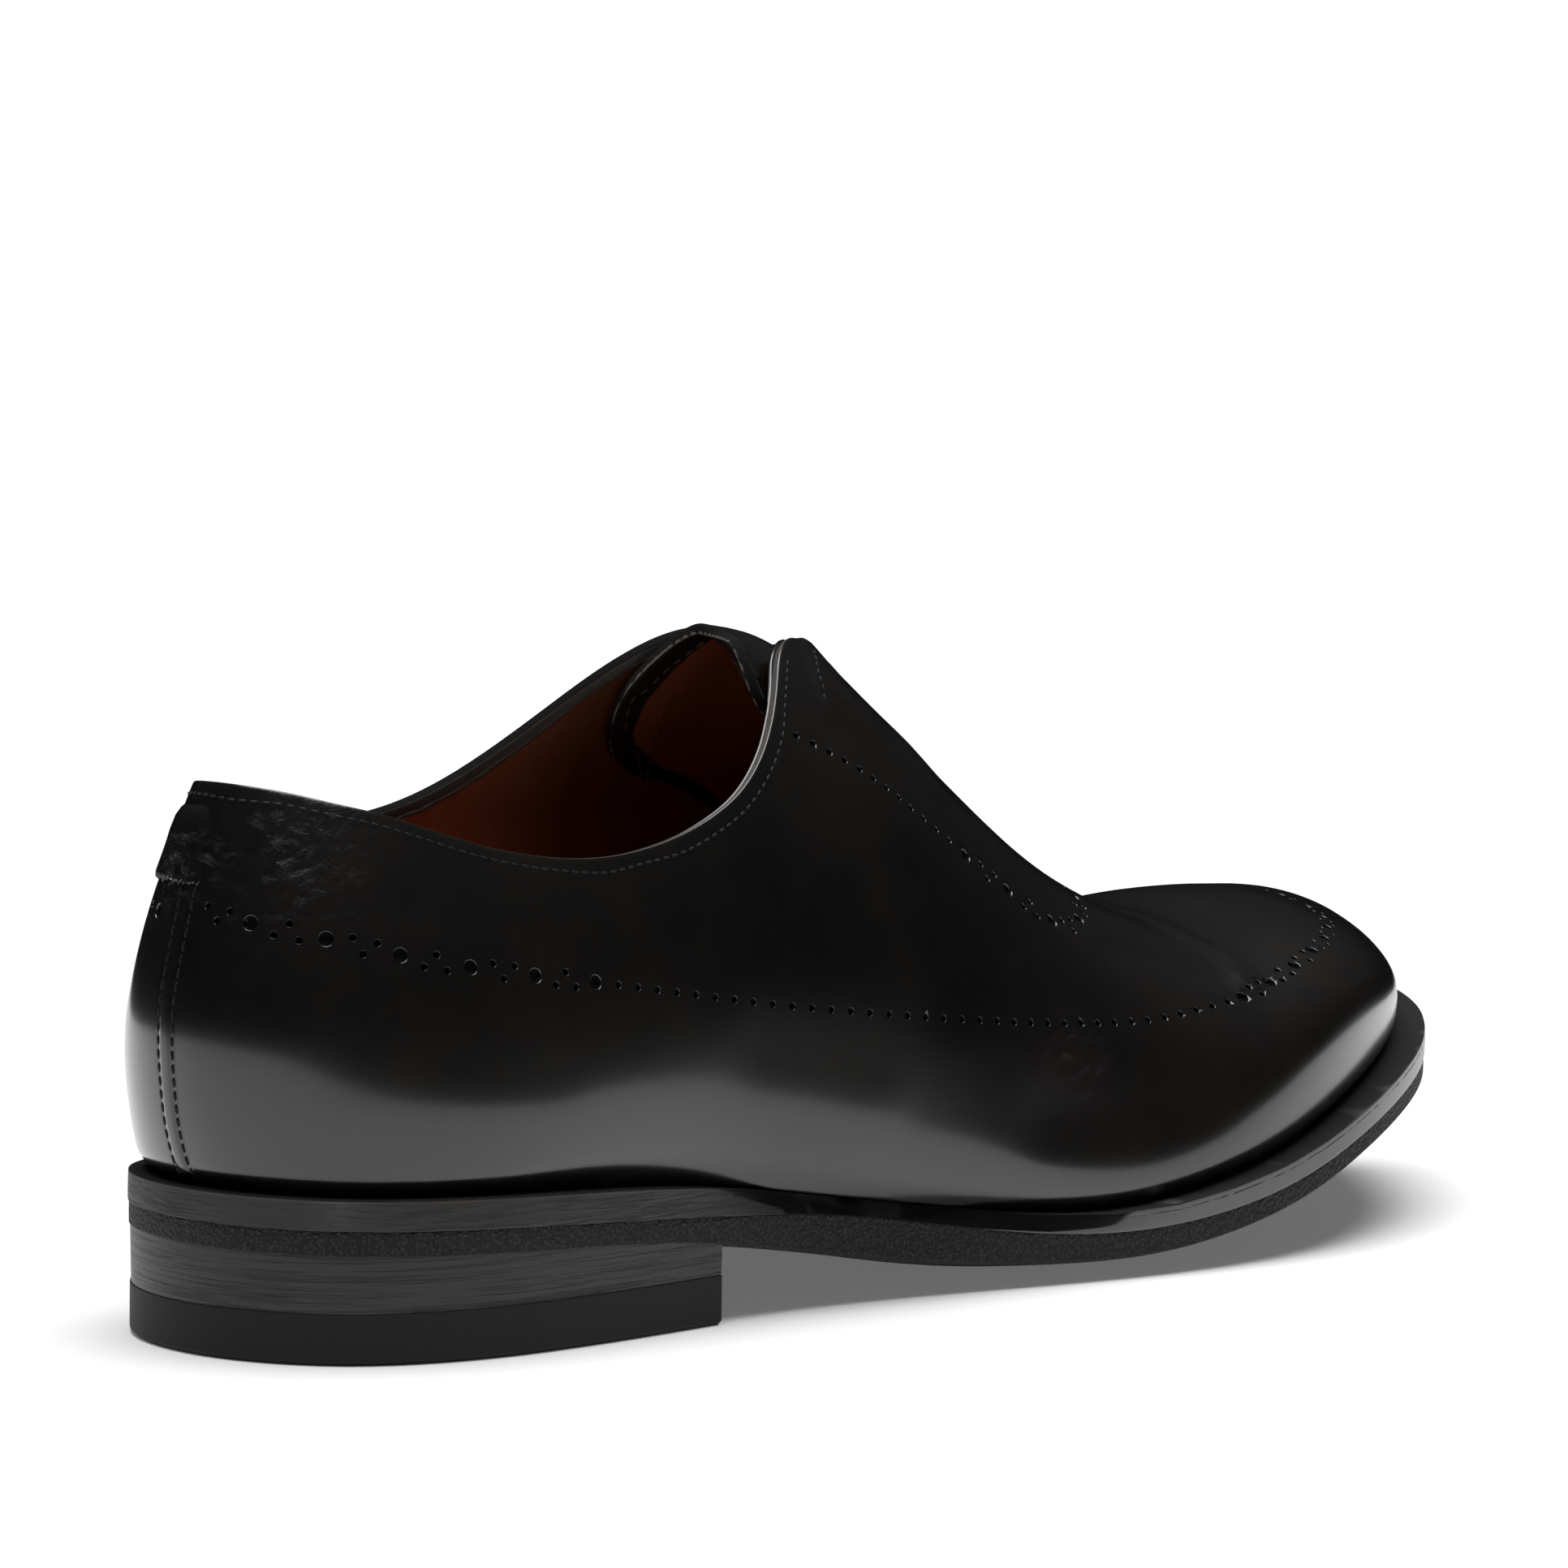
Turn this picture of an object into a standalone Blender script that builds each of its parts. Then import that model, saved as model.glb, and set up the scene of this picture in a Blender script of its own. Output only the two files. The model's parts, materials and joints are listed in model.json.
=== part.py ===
import math
from collections import namedtuple

import bmesh
import bpy
import numpy as np
from mathutils import Vector

# Sizes are in millimetres while the shoe is worked out: x runs from the back of the heel to the
# toe, y to the shoe's left, z up from the floor. The shoe is a right one, so its lateral side is -y.
METRES = 0.001
SOLE_LENGTH = 299.0
HEEL_LENGTH = 82.0
LIFT_HEIGHT = 7.9
WALL = 2.0
GAP = 0.3
INSOLE_THICKNESS = 2.5
INSOLE_INSET = 2.35
TONGUE_THICKNESS = 2.0
RUBBER_INSET = 0.2
RUBBER_CHAMFER = 0.8
STACK_INSET = 0.4
STACK_TAPER = 0.2
LIFT_CHAMFER = 0.8
MERGE_DISTANCE = 0.00002

# Centres that the heel and toe sections turn about
HEEL_CENTRE = 42.0
TOE_CENTRE = 246.0

# Throat: the two facing peaks and the notch between them
PEAK_X = 120.0
PEAK_HALF = 11.0
NOTCH_X = 131.5
FACING_X = 90.0
NOTCH_SHARES = (0.0, 0.35, 0.65, 0.88, 1.0)

# Counts of sections along one side and of rows up the upper's wall
SOLE_SECTIONS = 36
UPPER_SECTIONS = 46
UPPER_ROWS = 18
SECTION_CLEARANCE = 0.45

Outline = namedtuple("Outline", "x lateral medial")
SOLE_OUTLINE = [
    Outline(0.0, 0.0, 0.0),
    Outline(4.0, -16.5, 17.4),
    Outline(10.0, -24.9, 25.6),
    Outline(20.0, -31.2, 31.9),
    Outline(35.0, -35.2, 34.9),
    Outline(50.0, -36.0, 34.6),
    Outline(65.0, -35.7, 33.2),
    Outline(85.0, -34.5, 29.5),
    Outline(105.0, -34.4, 26.5),
    Outline(125.0, -36.7, 26.5),
    Outline(145.0, -40.9, 30.0),
    Outline(165.0, -45.2, 36.5),
    Outline(185.0, -47.7, 43.2),
    Outline(200.0, -48.0, 47.2),
    Outline(215.0, -46.5, 49.6),
    Outline(230.0, -42.5, 50.2),
    Outline(245.0, -36.0, 49.6),
    Outline(260.0, -27.0, 47.5),
    Outline(272.0, -16.8, 44.6),
    Outline(281.0, -7.6, 41.0),
    Outline(288.0, 0.8, 37.0),
    Outline(294.0, 8.6, 32.2),
    Outline(299.0, 20.0, 20.0),
]

# Heights of the sole along its edge: the rubber's lower rim, how far its tread bulges below that
# rim, and the layers above, with the ledge outside the upper and the bevel of the waist
Sole = namedtuple("Sole", "x rim camber foam welt ledge bevel")
SOLE_HEIGHTS = [
    Sole(0.0, 16.7, 0.0, 4.1, 4.8, 2.2, 0.0),
    Sole(40.0, 15.6, 0.0, 4.1, 4.8, 2.4, 0.0),
    Sole(84.0, 12.3, 0.0, 4.7, 4.4, 1.2, 0.4),
    Sole(105.0, 8.8, 0.7, 6.5, 2.8, -0.4, 2.6),
    Sole(130.0, 5.2, 1.8, 6.2, 2.8, 0.4, 2.2),
    Sole(150.0, 3.6, 3.9, 4.8, 3.2, 2.2, 1.0),
    Sole(168.0, 3.0, 3.6, 4.6, 3.3, 3.4, 0.3),
    Sole(185.0, 4.9, 4.4, 4.2, 3.6, 4.2, 0.0),
    Sole(205.0, 9.0, 3.8, 3.9, 3.8, 4.6, 0.0),
    Sole(225.0, 15.0, 3.4, 3.7, 3.7, 5.0, 0.0),
    Sole(245.0, 19.6, 3.0, 3.7, 3.9, 5.3, 0.0),
    Sole(261.0, 22.5, 2.6, 3.8, 4.0, 5.5, 0.0),
    Sole(277.0, 24.4, 2.2, 3.9, 4.0, 5.7, 0.0),
    Sole(299.0, 25.3, 1.6, 3.9, 4.0, 5.8, 0.0),
]

# Sections of the upper: how far the wall swells past its foot, how high that is, the crest over each
# side and how square its shoulder is. Behind the throat the crest is the unseen top of the last.
Section = namedtuple("Section", "x swell_lateral swell_medial belly crest_lateral crest_medial shoulder lean")
UPPER_SECTIONS_TABLE = [
    Section(0.0, 4.4, 4.4, 23.0, 140.0, 140.0, 1.55, 0.0),
    Section(2.0, 3.9, 3.9, 22.6, 128.0, 128.0, 1.55, 0.0),
    Section(5.0, 3.1, 3.1, 21.4, 119.0, 119.0, 1.55, 0.0),
    Section(11.0, 2.6, 2.6, 18.5, 111.5, 111.5, 1.55, 0.0),
    Section(23.0, 2.2, 2.2, 15.5, 105.5, 105.5, 1.55, 0.0),
    Section(42.0, 2.4, 2.6, 14.0, 101.0, 103.0, 1.65, 0.0),
    Section(60.0, 2.4, 3.0, 14.0, 102.0, 109.0, 1.75, 0.0),
    Section(80.0, 2.6, 3.4, 14.0, 105.5, 115.0, 1.85, 0.2),
    Section(95.0, 2.8, 4.0, 13.5, 108.0, 114.0, 1.86, 0.4),
    Section(108.0, 3.0, 4.6, 12.0, 110.5, 113.0, 1.8, 0.6),
    Section(120.0, 3.0, 4.6, 10.5, 111.0, 111.0, 1.78, 1.0),
    Section(135.0, 2.8, 4.2, 8.3, 100.8, 100.8, 1.75, 2.2),
    Section(150.0, 2.0, 3.4, 5.8, 89.9, 89.9, 1.75, 3.4),
    Section(165.0, 1.2, 2.6, 4.2, 77.4, 77.4, 1.8, 4.6),
    Section(180.0, 1.2, 2.2, 5.4, 66.6, 66.6, 1.85, 5.6),
    Section(195.0, 1.6, 2.2, 9.0, 59.0, 59.0, 1.92, 6.4),
    Section(208.0, 1.6, 2.0, 13.5, 54.5, 54.5, 1.96, 7.8),
    Section(230.0, 1.5, 1.8, 15.0, 55.0, 55.0, 2.0, 9.4),
    Section(246.0, 1.2, 1.4, 12.0, 55.2, 55.2, 1.95, 11.0),
    Section(272.0, 0.4, 0.4, 6.0, 55.0, 55.0, 1.84, 11.0),
    Section(299.0, 0.4, 0.4, 5.0, 55.0, 55.0, 1.84, 11.0),
]

# Height of the collar's edge on the two sides
Collar = namedtuple("Collar", "x lateral medial")
COLLAR = [
    Collar(0.0, 88.1, 88.1),
    Collar(2.0, 87.3, 87.3),
    Collar(5.0, 86.0, 86.2),
    Collar(12.0, 84.1, 84.6),
    Collar(24.0, 81.2, 81.8),
    Collar(42.0, 77.3, 78.4),
    Collar(59.0, 75.0, 78.0),
    Collar(74.0, 76.4, 81.6),
    Collar(88.0, 80.6, 89.6),
    Collar(96.0, 85.1, 95.8),
    Collar(101.5, 89.7, 100.1),
    Collar(106.0, 94.6, 103.0),
    Collar(109.5, 98.9, 104.8),
    Collar(113.0, 103.2, 106.0),
    Collar(116.5, 105.5, 106.6),
    Collar(120.0, 106.2, 106.7),
]

# Tongue: half width, extra depth and how far either edge springs up, from its end to its hidden root
Tongue = namedtuple("Tongue", "x half sink rise_lateral rise_medial")
TONGUE = [
    Tongue(109.0, 16.2, 1.6, 6.9, 1.9),
    Tongue(109.9, 18.8, 1.8, 6.7, 1.8),
    Tongue(111.3, 20.2, 2.1, 4.8, 1.5),
    Tongue(113.3, 20.9, 2.4, 2.6, 1.0),
    Tongue(115.8, 21.2, 2.6, 1.0, 0.4),
    Tongue(118.0, 21.4, 2.7, 0.3, 0.0),
    Tongue(122.0, 21.6, 2.2, 0.0, 0.0),
    Tongue(127.0, 21.3, 1.1, 0.0, 0.0),
    Tongue(133.0, 20.8, 0.45, 0.0, 0.0),
    Tongue(140.0, 20.2, 0.35, 0.0, 0.0),
    Tongue(150.0, 19.6, 0.35, 0.0, 0.0),
    Tongue(162.0, 18.5, 0.35, 0.0, 0.0),
]
TONGUE_COLUMNS = 14
TONGUE_RAKE = 0.3

# Shares of the way from the rubber's rim to the spine where the tread bends, and how deep it is there
TREAD_SHARE = 0.56
TREAD_BEND_SHARE = 0.28
TREAD_BEND_DEPTH = 0.52

LATERAL = -1
MEDIAL = 1


def natural_spline(knots, values):
    knots = np.asarray(knots, float)
    values = np.asarray(values, float)
    steps = np.diff(knots)
    count = len(knots)
    matrix = np.eye(count)
    slopes = np.zeros(count)
    for i in range(1, count - 1):
        matrix[i, i - 1] = steps[i - 1]
        matrix[i, i] = 2.0 * (steps[i - 1] + steps[i])
        matrix[i, i + 1] = steps[i]
        rise_after = (values[i + 1] - values[i]) / steps[i]
        rise_before = (values[i] - values[i - 1]) / steps[i - 1]
        slopes[i] = 6.0 * (rise_after - rise_before)
    bends = np.linalg.solve(matrix, slopes)

    def evaluate(x):
        x = min(max(x, knots[0]), knots[-1])
        i = min(max(int(np.searchsorted(knots, x)) - 1, 0), count - 2)
        step = steps[i]
        left = knots[i + 1] - x
        right = x - knots[i]
        value = (bends[i] * left ** 3 + bends[i + 1] * right ** 3) / (6.0 * step)
        value += (values[i] / step - bends[i] * step / 6.0) * left
        value += (values[i + 1] / step - bends[i + 1] * step / 6.0) * right
        return value

    return evaluate


def column(rows, name):
    return natural_spline([row.x for row in rows], [getattr(row, name) for row in rows])


def turn(x):
    """Angle share of a length along the sole, even at the rounded ends."""
    return math.acos(1.0 - 2.0 * x / SOLE_LENGTH) / math.pi


def unturn(u):
    return SOLE_LENGTH * (1.0 - math.cos(math.pi * u)) / 2.0


edge_turns = [turn(row.x) for row in SOLE_OUTLINE]
edge_side = {
    LATERAL: natural_spline(edge_turns, [row.lateral for row in SOLE_OUTLINE]),
    MEDIAL: natural_spline(edge_turns, [row.medial for row in SOLE_OUTLINE]),
}
camber_depth = column(SOLE_HEIGHTS, "camber")
rim_height = column(SOLE_HEIGHTS, "rim")
foam_thickness = column(SOLE_HEIGHTS, "foam")
welt_thickness = column(SOLE_HEIGHTS, "welt")
ledge_width = column(SOLE_HEIGHTS, "ledge")
waist_bevel = column(SOLE_HEIGHTS, "bevel")
swell = {
    LATERAL: column(UPPER_SECTIONS_TABLE, "swell_lateral"),
    MEDIAL: column(UPPER_SECTIONS_TABLE, "swell_medial"),
}
belly_height = column(UPPER_SECTIONS_TABLE, "belly")
crest_height = {
    LATERAL: column(UPPER_SECTIONS_TABLE, "crest_lateral"),
    MEDIAL: column(UPPER_SECTIONS_TABLE, "crest_medial"),
}
shoulder_power = column(UPPER_SECTIONS_TABLE, "shoulder")
crest_lean = column(UPPER_SECTIONS_TABLE, "lean")
collar_height = {LATERAL: column(COLLAR, "lateral"), MEDIAL: column(COLLAR, "medial")}
tongue_half = column(TONGUE, "half")
tongue_sink = column(TONGUE, "sink")
tongue_rise = {LATERAL: column(TONGUE, "rise_lateral"), MEDIAL: column(TONGUE, "rise_medial")}


def tread_height(x, depth):
    """Underside of the rubber, flat on the floor where it reaches it."""
    return max(rim_height(x) - depth * max(camber_depth(x), 0.0), 0.0)


def foam_top(x):
    return rim_height(x) + foam_thickness(x)


def welt_bottom(x):
    return foam_top(x) + GAP


def welt_top(x):
    return welt_bottom(x) + welt_thickness(x)


def edge_point(u, side, inset=0.0):
    """Point of the sole's outline, moved inwards along the outline's normal."""
    step = 0.004
    here = np.array([unturn(u), edge_side[side](u)])
    if u < step or u > 1.0 - step:
        ahead = np.array([0.0, side if u < step else -side])
    else:
        before = np.array([unturn(u - step), edge_side[side](u - step)])
        after = np.array([unturn(u + step), edge_side[side](u + step)])
        ahead = (after - before) / np.linalg.norm(after - before)
    inward = side * np.array([ahead[1], -ahead[0]])
    return here + inset * inward


def spine_point(x):
    """Point of the line that the sections turn about, below the crest."""
    spine_x = min(max(x, HEEL_CENTRE), TOE_CENTRE)
    return np.array([spine_x, crest_lean(spine_x)])


def ring(turns, inset, height, share=0.0):
    """Closed loop of the outline: lateral side to the toe, then back along the medial side.

    The loop is moved inwards by an inset and then by a share of the way to the spine."""
    loop = []
    for side, order in ((LATERAL, turns), (MEDIAL, turns[::-1])):
        for u in order:
            edge = edge_point(u, side, inset(unturn(u)))
            x, y = edge + share * (spine_point(unturn(u)) - edge)
            loop.append(Vector((x, y, height(x))))
    return loop


def add_object(name, vertices, faces, collection):
    mesh = bpy.data.meshes.new(name)
    mesh.from_pydata([Vector(point) * METRES for point in vertices], [], faces)
    work = bmesh.new()
    work.from_mesh(mesh)
    bmesh.ops.remove_doubles(work, verts=work.verts, dist=MERGE_DISTANCE)
    bmesh.ops.dissolve_degenerate(work, dist=MERGE_DISTANCE / 2.0, edges=work.edges)
    work.to_mesh(mesh)
    work.free()
    thing = bpy.data.objects.new(name, mesh)
    collection.objects.link(thing)
    return thing


def plate(name, rings, collection):
    """Solid through rings of equal count, closed by strips across its bottom and top."""
    count = len(rings[0])
    half = count // 2
    vertices = [point for loop in rings for point in loop]
    faces = []
    for level in range(len(rings) - 1):
        low = level * count
        high = low + count
        for i in range(count):
            after = (i + 1) % count
            faces.append((low + i, low + after, high + after, high + i))
    top = (len(rings) - 1) * count
    for i in range(half - 1):
        other = count - 1 - i
        faces.append((other, other - 1, i + 1, i))
        faces.append((top + i, top + i + 1, top + other - 1, top + other))
    return add_object(name, vertices, faces, collection)


def foot_of(u, side):
    """Foot of the upper's wall and the point of the spine that its section turns about."""
    x = unturn(u)
    return edge_point(u, side, ledge_width(x)), spine_point(x)


def crest_slope(x):
    return (crest_height[LATERAL](x + 1.0) - crest_height[LATERAL](x - 1.0)) / 2.0


def wall_profile(u, side, crest=None):
    """Outer line of one section as (reach, height) pairs from the foot to the crest."""
    foot, spine = foot_of(u, side)
    x = unturn(u)
    out = foot - spine
    reach = np.linalg.norm(out)
    out = out / reach
    belly_reach = reach + swell[side](x)
    base = welt_top(foot[0]) + GAP
    belly = base + belly_height(x)
    on_toe = x > TOE_CENTRE
    if crest is None:
        crest = crest_height[side](min(x, TOE_CENTRE))
    power = shoulder_power(x)
    line = []
    low_steps = 12
    for i in range(low_steps):
        a = i / low_steps
        line.append((belly_reach - (belly_reach - reach) * (1.0 - a) ** 2, base + (belly - base) * a))
    high_steps = 60
    for i in range(high_steps + 1):
        angle = math.pi / 2.0 * i / high_steps
        r = belly_reach * max(math.cos(angle), 0.0) ** (2.0 / power)
        z = belly + (crest - belly) * math.sin(angle) ** (2.0 / power)
        if on_toe:
            share = r / belly_reach
            z += crest_slope(TOE_CENTRE) * r * out[0] * (1.0 - share ** 2) ** 2
        line.append((r, z))
    return np.array(line), spine, out


def cut_line(line, x, side):
    """Section line up to the collar, the notch or the crest."""
    if x >= NOTCH_X:
        return line
    if x <= PEAK_X:
        level = collar_height[side](x)
        over = int(np.argmax(line[:, 1] >= level))
        share = (level - line[over - 1, 1]) / (line[over, 1] - line[over - 1, 1])
    else:
        span = (x - PEAK_X) / (NOTCH_X - PEAK_X)
        level = PEAK_HALF * math.sqrt(1.0 - span ** 2)
        over = int(np.argmax(line[:, 0] <= level))
        share = (line[over - 1, 0] - level) / (line[over - 1, 0] - line[over, 0])
    end = line[over - 1] + share * (line[over] - line[over - 1])
    return np.vstack([line[:over], end])


def spread(line, count):
    """The same line in steps of its own length, closer together near the foot."""
    lengths = np.concatenate([[0.0], np.cumsum(np.linalg.norm(np.diff(line, axis=0), axis=1))])
    marks = lengths[-1] * np.linspace(0.0, 1.0, count) ** 1.3
    return np.column_stack([np.interp(marks, lengths, line[:, k]) for k in range(2)])


def wall_points(u, side, count):
    line, spine, out = wall_profile(u, side)
    line = spread(cut_line(line, unturn(u), side), count)
    return [Vector((*(spine + r * out), z)) for r, z in line]


def upper_turns():
    turns = [i / UPPER_SECTIONS for i in range(UPPER_SECTIONS + 1)]
    notch = [PEAK_X + share * (NOTCH_X - PEAK_X) for share in NOTCH_SHARES]
    facing = [row.x for row in COLLAR if FACING_X < row.x < PEAK_X]
    throat = [turn(x) for x in facing + notch]
    clear = SECTION_CLEARANCE / UPPER_SECTIONS
    kept = [u for u in turns if min(abs(u - t) for t in throat) > clear]
    return sorted(kept + throat)


def build_upper(collection):
    turns = upper_turns()
    order = [(u, LATERAL) for u in turns] + [(u, MEDIAL) for u in turns[-2:0:-1]]
    vertices = []
    for u, side in order:
        vertices += wall_points(u, side, UPPER_ROWS)
    faces = []
    for i in range(len(order)):
        this = i * UPPER_ROWS
        after = (i + 1) % len(order) * UPPER_ROWS
        for row in range(UPPER_ROWS - 1):
            faces.append((this + row, after + row, after + row + 1, this + row + 1))
    upper = add_object("upper", vertices, faces, collection)
    add_wall(upper, WALL)
    return upper


def add_wall(thing, thickness):
    wall = thing.modifiers.new("wall", "SOLIDIFY")
    wall.thickness = thickness * METRES
    wall.offset = -1.0
    wall.use_even_offset = False
    wall.use_rim = True


def last_point(x, across):
    """Point of the last over the instep, across measured from its crest to either side."""
    side = LATERAL if across < 0.0 else MEDIAL
    crest = (crest_height[LATERAL](x) + crest_height[MEDIAL](x)) / 2.0
    line, spine, out = wall_profile(turn(x), side, crest)
    reach = abs(across)
    z = np.interp(reach, line[::-1, 0], line[::-1, 1])
    return Vector((x, spine[1] + side * reach, z))


def instep_point(x, across, depth):
    """The same point sunk into the shoe along the surface's normal."""
    step = 1.0
    along = last_point(x + step, across) - last_point(x - step, across)
    cross = last_point(x, across + step) - last_point(x, across - step)
    normal = along.cross(cross).normalized()
    return last_point(x, across) - normal * depth


def tongue_point(row_x, across):
    """Point of the tongue: its rows lean back so that its end is cut square to the instep."""
    drop = last_point(row_x, 0.0).z - last_point(row_x, across).z
    side = LATERAL if across < 0.0 else MEDIAL
    rise = tongue_rise[side](row_x) * (across / tongue_half(row_x)) ** 2
    sunk = instep_point(row_x - TONGUE_RAKE * drop, across, WALL + GAP + tongue_sink(row_x))
    return sunk + Vector((0.0, 0.0, rise))


def build_tongue(collection):
    vertices = []
    rows = [row.x for row in TONGUE]
    for x in rows:
        for k in range(TONGUE_COLUMNS + 1):
            across = tongue_half(x) * (2.0 * k / TONGUE_COLUMNS - 1.0)
            vertices.append(tongue_point(x, across))
    faces = []
    width = TONGUE_COLUMNS + 1
    for i in range(len(rows) - 1):
        for k in range(TONGUE_COLUMNS):
            a = i * width + k
            faces.append((a, a + width, a + width + 1, a + 1))
    tongue = add_object("tongue", vertices, faces, collection)
    add_wall(tongue, TONGUE_THICKNESS)
    return tongue


def build_sole(collection):
    turns = [i / SOLE_SECTIONS for i in range(SOLE_SECTIONS + 1)]
    heel_turns = [u for u in turns if unturn(u) < HEEL_LENGTH - 3.0] + [turn(HEEL_LENGTH)]
    plate("welt", [
        ring(turns, lambda x: 0.0, welt_bottom),
        ring(turns, waist_bevel, welt_top),
    ], collection)
    rim_inset = RUBBER_INSET + RUBBER_CHAMFER
    plate("outsole", [
        ring(turns, lambda x: rim_inset, lambda x: tread_height(x, 1.0), TREAD_SHARE),
        ring(turns, lambda x: rim_inset, lambda x: tread_height(x, TREAD_BEND_DEPTH), TREAD_BEND_SHARE),
        ring(turns, lambda x: rim_inset, rim_height),
        ring(turns, lambda x: RUBBER_INSET, lambda x: rim_height(x) + RUBBER_CHAMFER),
        ring(turns, lambda x: RUBBER_INSET, foam_top),
    ], collection)
    plate("heel_stack", [
        ring(heel_turns, lambda x: STACK_INSET + STACK_TAPER, lambda x: LIFT_HEIGHT + GAP),
        ring(heel_turns, lambda x: STACK_INSET, lambda x: rim_height(x) - GAP),
    ], collection)
    plate("top_lift", [
        ring(heel_turns, lambda x: STACK_INSET + LIFT_CHAMFER, lambda x: 0.0),
        ring(heel_turns, lambda x: STACK_INSET, lambda x: LIFT_CHAMFER),
        ring(heel_turns, lambda x: STACK_INSET, lambda x: LIFT_HEIGHT),
    ], collection)
    plate("insole", [
        ring(turns, lambda x: ledge_width(x) + INSOLE_INSET, lambda x: welt_top(x) + GAP),
        ring(turns, lambda x: ledge_width(x) + INSOLE_INSET,
             lambda x: welt_top(x) + GAP + INSOLE_THICKNESS),
    ], collection)


def paint(name, colour, roughness):
    material = bpy.data.materials.new(name)
    material.use_nodes = True
    shader = material.node_tree.nodes["Principled BSDF"]
    shader.inputs["Base Color"].default_value = (*colour, 1.0)
    shader.inputs["Roughness"].default_value = roughness
    return material


for old in list(bpy.data.objects):
    bpy.data.objects.remove(old)

shoe = bpy.data.collections.new("slip_on_loafer")
bpy.context.scene.collection.children.link(shoe)

build_sole(shoe)
build_upper(shoe)
build_tongue(shoe)

corners = np.array([vertex.co for piece in shoe.objects for vertex in piece.data.vertices])
low = corners.min(axis=0)
high = corners.max(axis=0)
for piece in shoe.objects:
    piece.location = (-(low[0] + high[0]) / 2.0, -(low[1] + high[1]) / 2.0, 0.0)

Finish = namedtuple("Finish", "colour roughness")
FINISHES = {
    "upper": Finish((0.012, 0.012, 0.013), 0.3),
    "tongue": Finish((0.02, 0.012, 0.009), 0.45),
    "insole": Finish((0.12, 0.045, 0.025), 0.5),
    "welt": Finish((0.05, 0.048, 0.046), 0.55),
    "outsole": Finish((0.015, 0.015, 0.015), 0.85),
    "heel_stack": Finish((0.03, 0.029, 0.028), 0.5),
    "top_lift": Finish((0.02, 0.02, 0.02), 0.7),
}
for piece in shoe.objects:
    finish = FINISHES[piece.name]
    piece.data.materials.append(paint(piece.name + "_finish", finish.colour, finish.roughness))
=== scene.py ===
import json
import math
import bpy
from mathutils import Matrix, Vector, noise
from mathutils.bvhtree import BVHTree
from mathutils.kdtree import KDTree

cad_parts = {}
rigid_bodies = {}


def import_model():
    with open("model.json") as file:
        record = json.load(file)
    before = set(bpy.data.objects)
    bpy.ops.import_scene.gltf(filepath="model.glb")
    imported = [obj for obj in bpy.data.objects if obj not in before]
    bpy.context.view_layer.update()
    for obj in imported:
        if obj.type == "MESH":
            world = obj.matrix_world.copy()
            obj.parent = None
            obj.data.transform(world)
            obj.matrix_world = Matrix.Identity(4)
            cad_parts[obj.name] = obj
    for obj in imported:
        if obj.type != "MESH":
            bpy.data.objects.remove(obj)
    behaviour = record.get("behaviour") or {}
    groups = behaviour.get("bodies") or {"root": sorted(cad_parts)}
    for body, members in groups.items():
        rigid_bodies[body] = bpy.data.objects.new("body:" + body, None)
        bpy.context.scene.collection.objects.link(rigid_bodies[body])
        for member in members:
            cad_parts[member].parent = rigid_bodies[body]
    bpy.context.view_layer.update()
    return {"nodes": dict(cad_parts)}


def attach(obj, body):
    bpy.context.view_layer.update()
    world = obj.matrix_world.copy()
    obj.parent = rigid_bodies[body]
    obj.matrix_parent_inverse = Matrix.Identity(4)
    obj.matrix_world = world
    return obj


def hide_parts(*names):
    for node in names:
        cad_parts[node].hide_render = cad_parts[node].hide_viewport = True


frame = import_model()
mm = 0.001
heelBack = Vector((-148.41, -1.08, 0))  # back of the heel in the frame
print("frame loaded")


# small helpers

def at(x, y, z):  # millimetres from the heel's back to the frame's metres
    return (Vector((x, y, z)) + heelBack) * mm


def own(point):  # and back again
    return point / mm - heelBack


def linear(hexColour):  # sRGB hex to linear RGBA
    out = []
    for i in (0, 2, 4):
        c = int(hexColour[i:i + 2], 16) / 255
        out.append(c / 12.92 if c <= 0.04045 else ((c + 0.055) / 1.055) ** 2.4)
    return (*out, 1.0)


def between(low, high, value):  # smooth 0 to 1
    t = min(max((value - low) / (high - low), 0), 1)
    return t * t * (3 - 2 * t)


def addNode(tree, kind, settings=None, links=None):  # one node, its socket values and what feeds it
    node = tree.nodes.new(kind)
    for name, value in (settings or {}).items():
        if isinstance(name, int) or name in node.inputs:
            node.inputs[name].default_value = value
        else:
            setattr(node, name, value)
    for name, source in (links or {}).items():
        tree.links.new(source, node.inputs[name])
    return node


def newMaterial(name, settings):
    material = bpy.data.materials.new(name)
    material.use_nodes = True
    shader = material.node_tree.nodes["Principled BSDF"]
    for socket, value in settings.items():
        shader.inputs[socket].default_value = value
    return material, material.node_tree, shader


def only(piece):  # the one selected and active object
    bpy.ops.object.select_all(action="DESELECT")
    piece.select_set(True)
    bpy.context.view_layer.objects.active = piece


def applyModifier(piece, kind, **settings):
    only(piece)
    bpy.ops.object.modifier_add(type=kind)
    modifier = piece.modifiers[-1]
    for name, value in settings.items():
        setattr(modifier, name, value)
    bpy.ops.object.modifier_apply(modifier=modifier.name)


def copyNode(node, name):  # merged quad copy of a CAD solid
    piece = bpy.data.objects.new(name, frame["nodes"][node].data.copy())
    bpy.context.scene.collection.objects.link(piece)
    piece.data.materials.clear()
    only(piece)
    bpy.ops.object.mode_set(mode="EDIT")
    bpy.ops.mesh.select_all(action="SELECT")
    bpy.ops.mesh.remove_doubles(threshold=0.001 * mm)
    bpy.ops.mesh.tris_convert_to_quads(face_threshold=math.radians(60), shape_threshold=math.radians(180))
    bpy.ops.object.mode_set(mode="OBJECT")
    return piece


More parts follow.
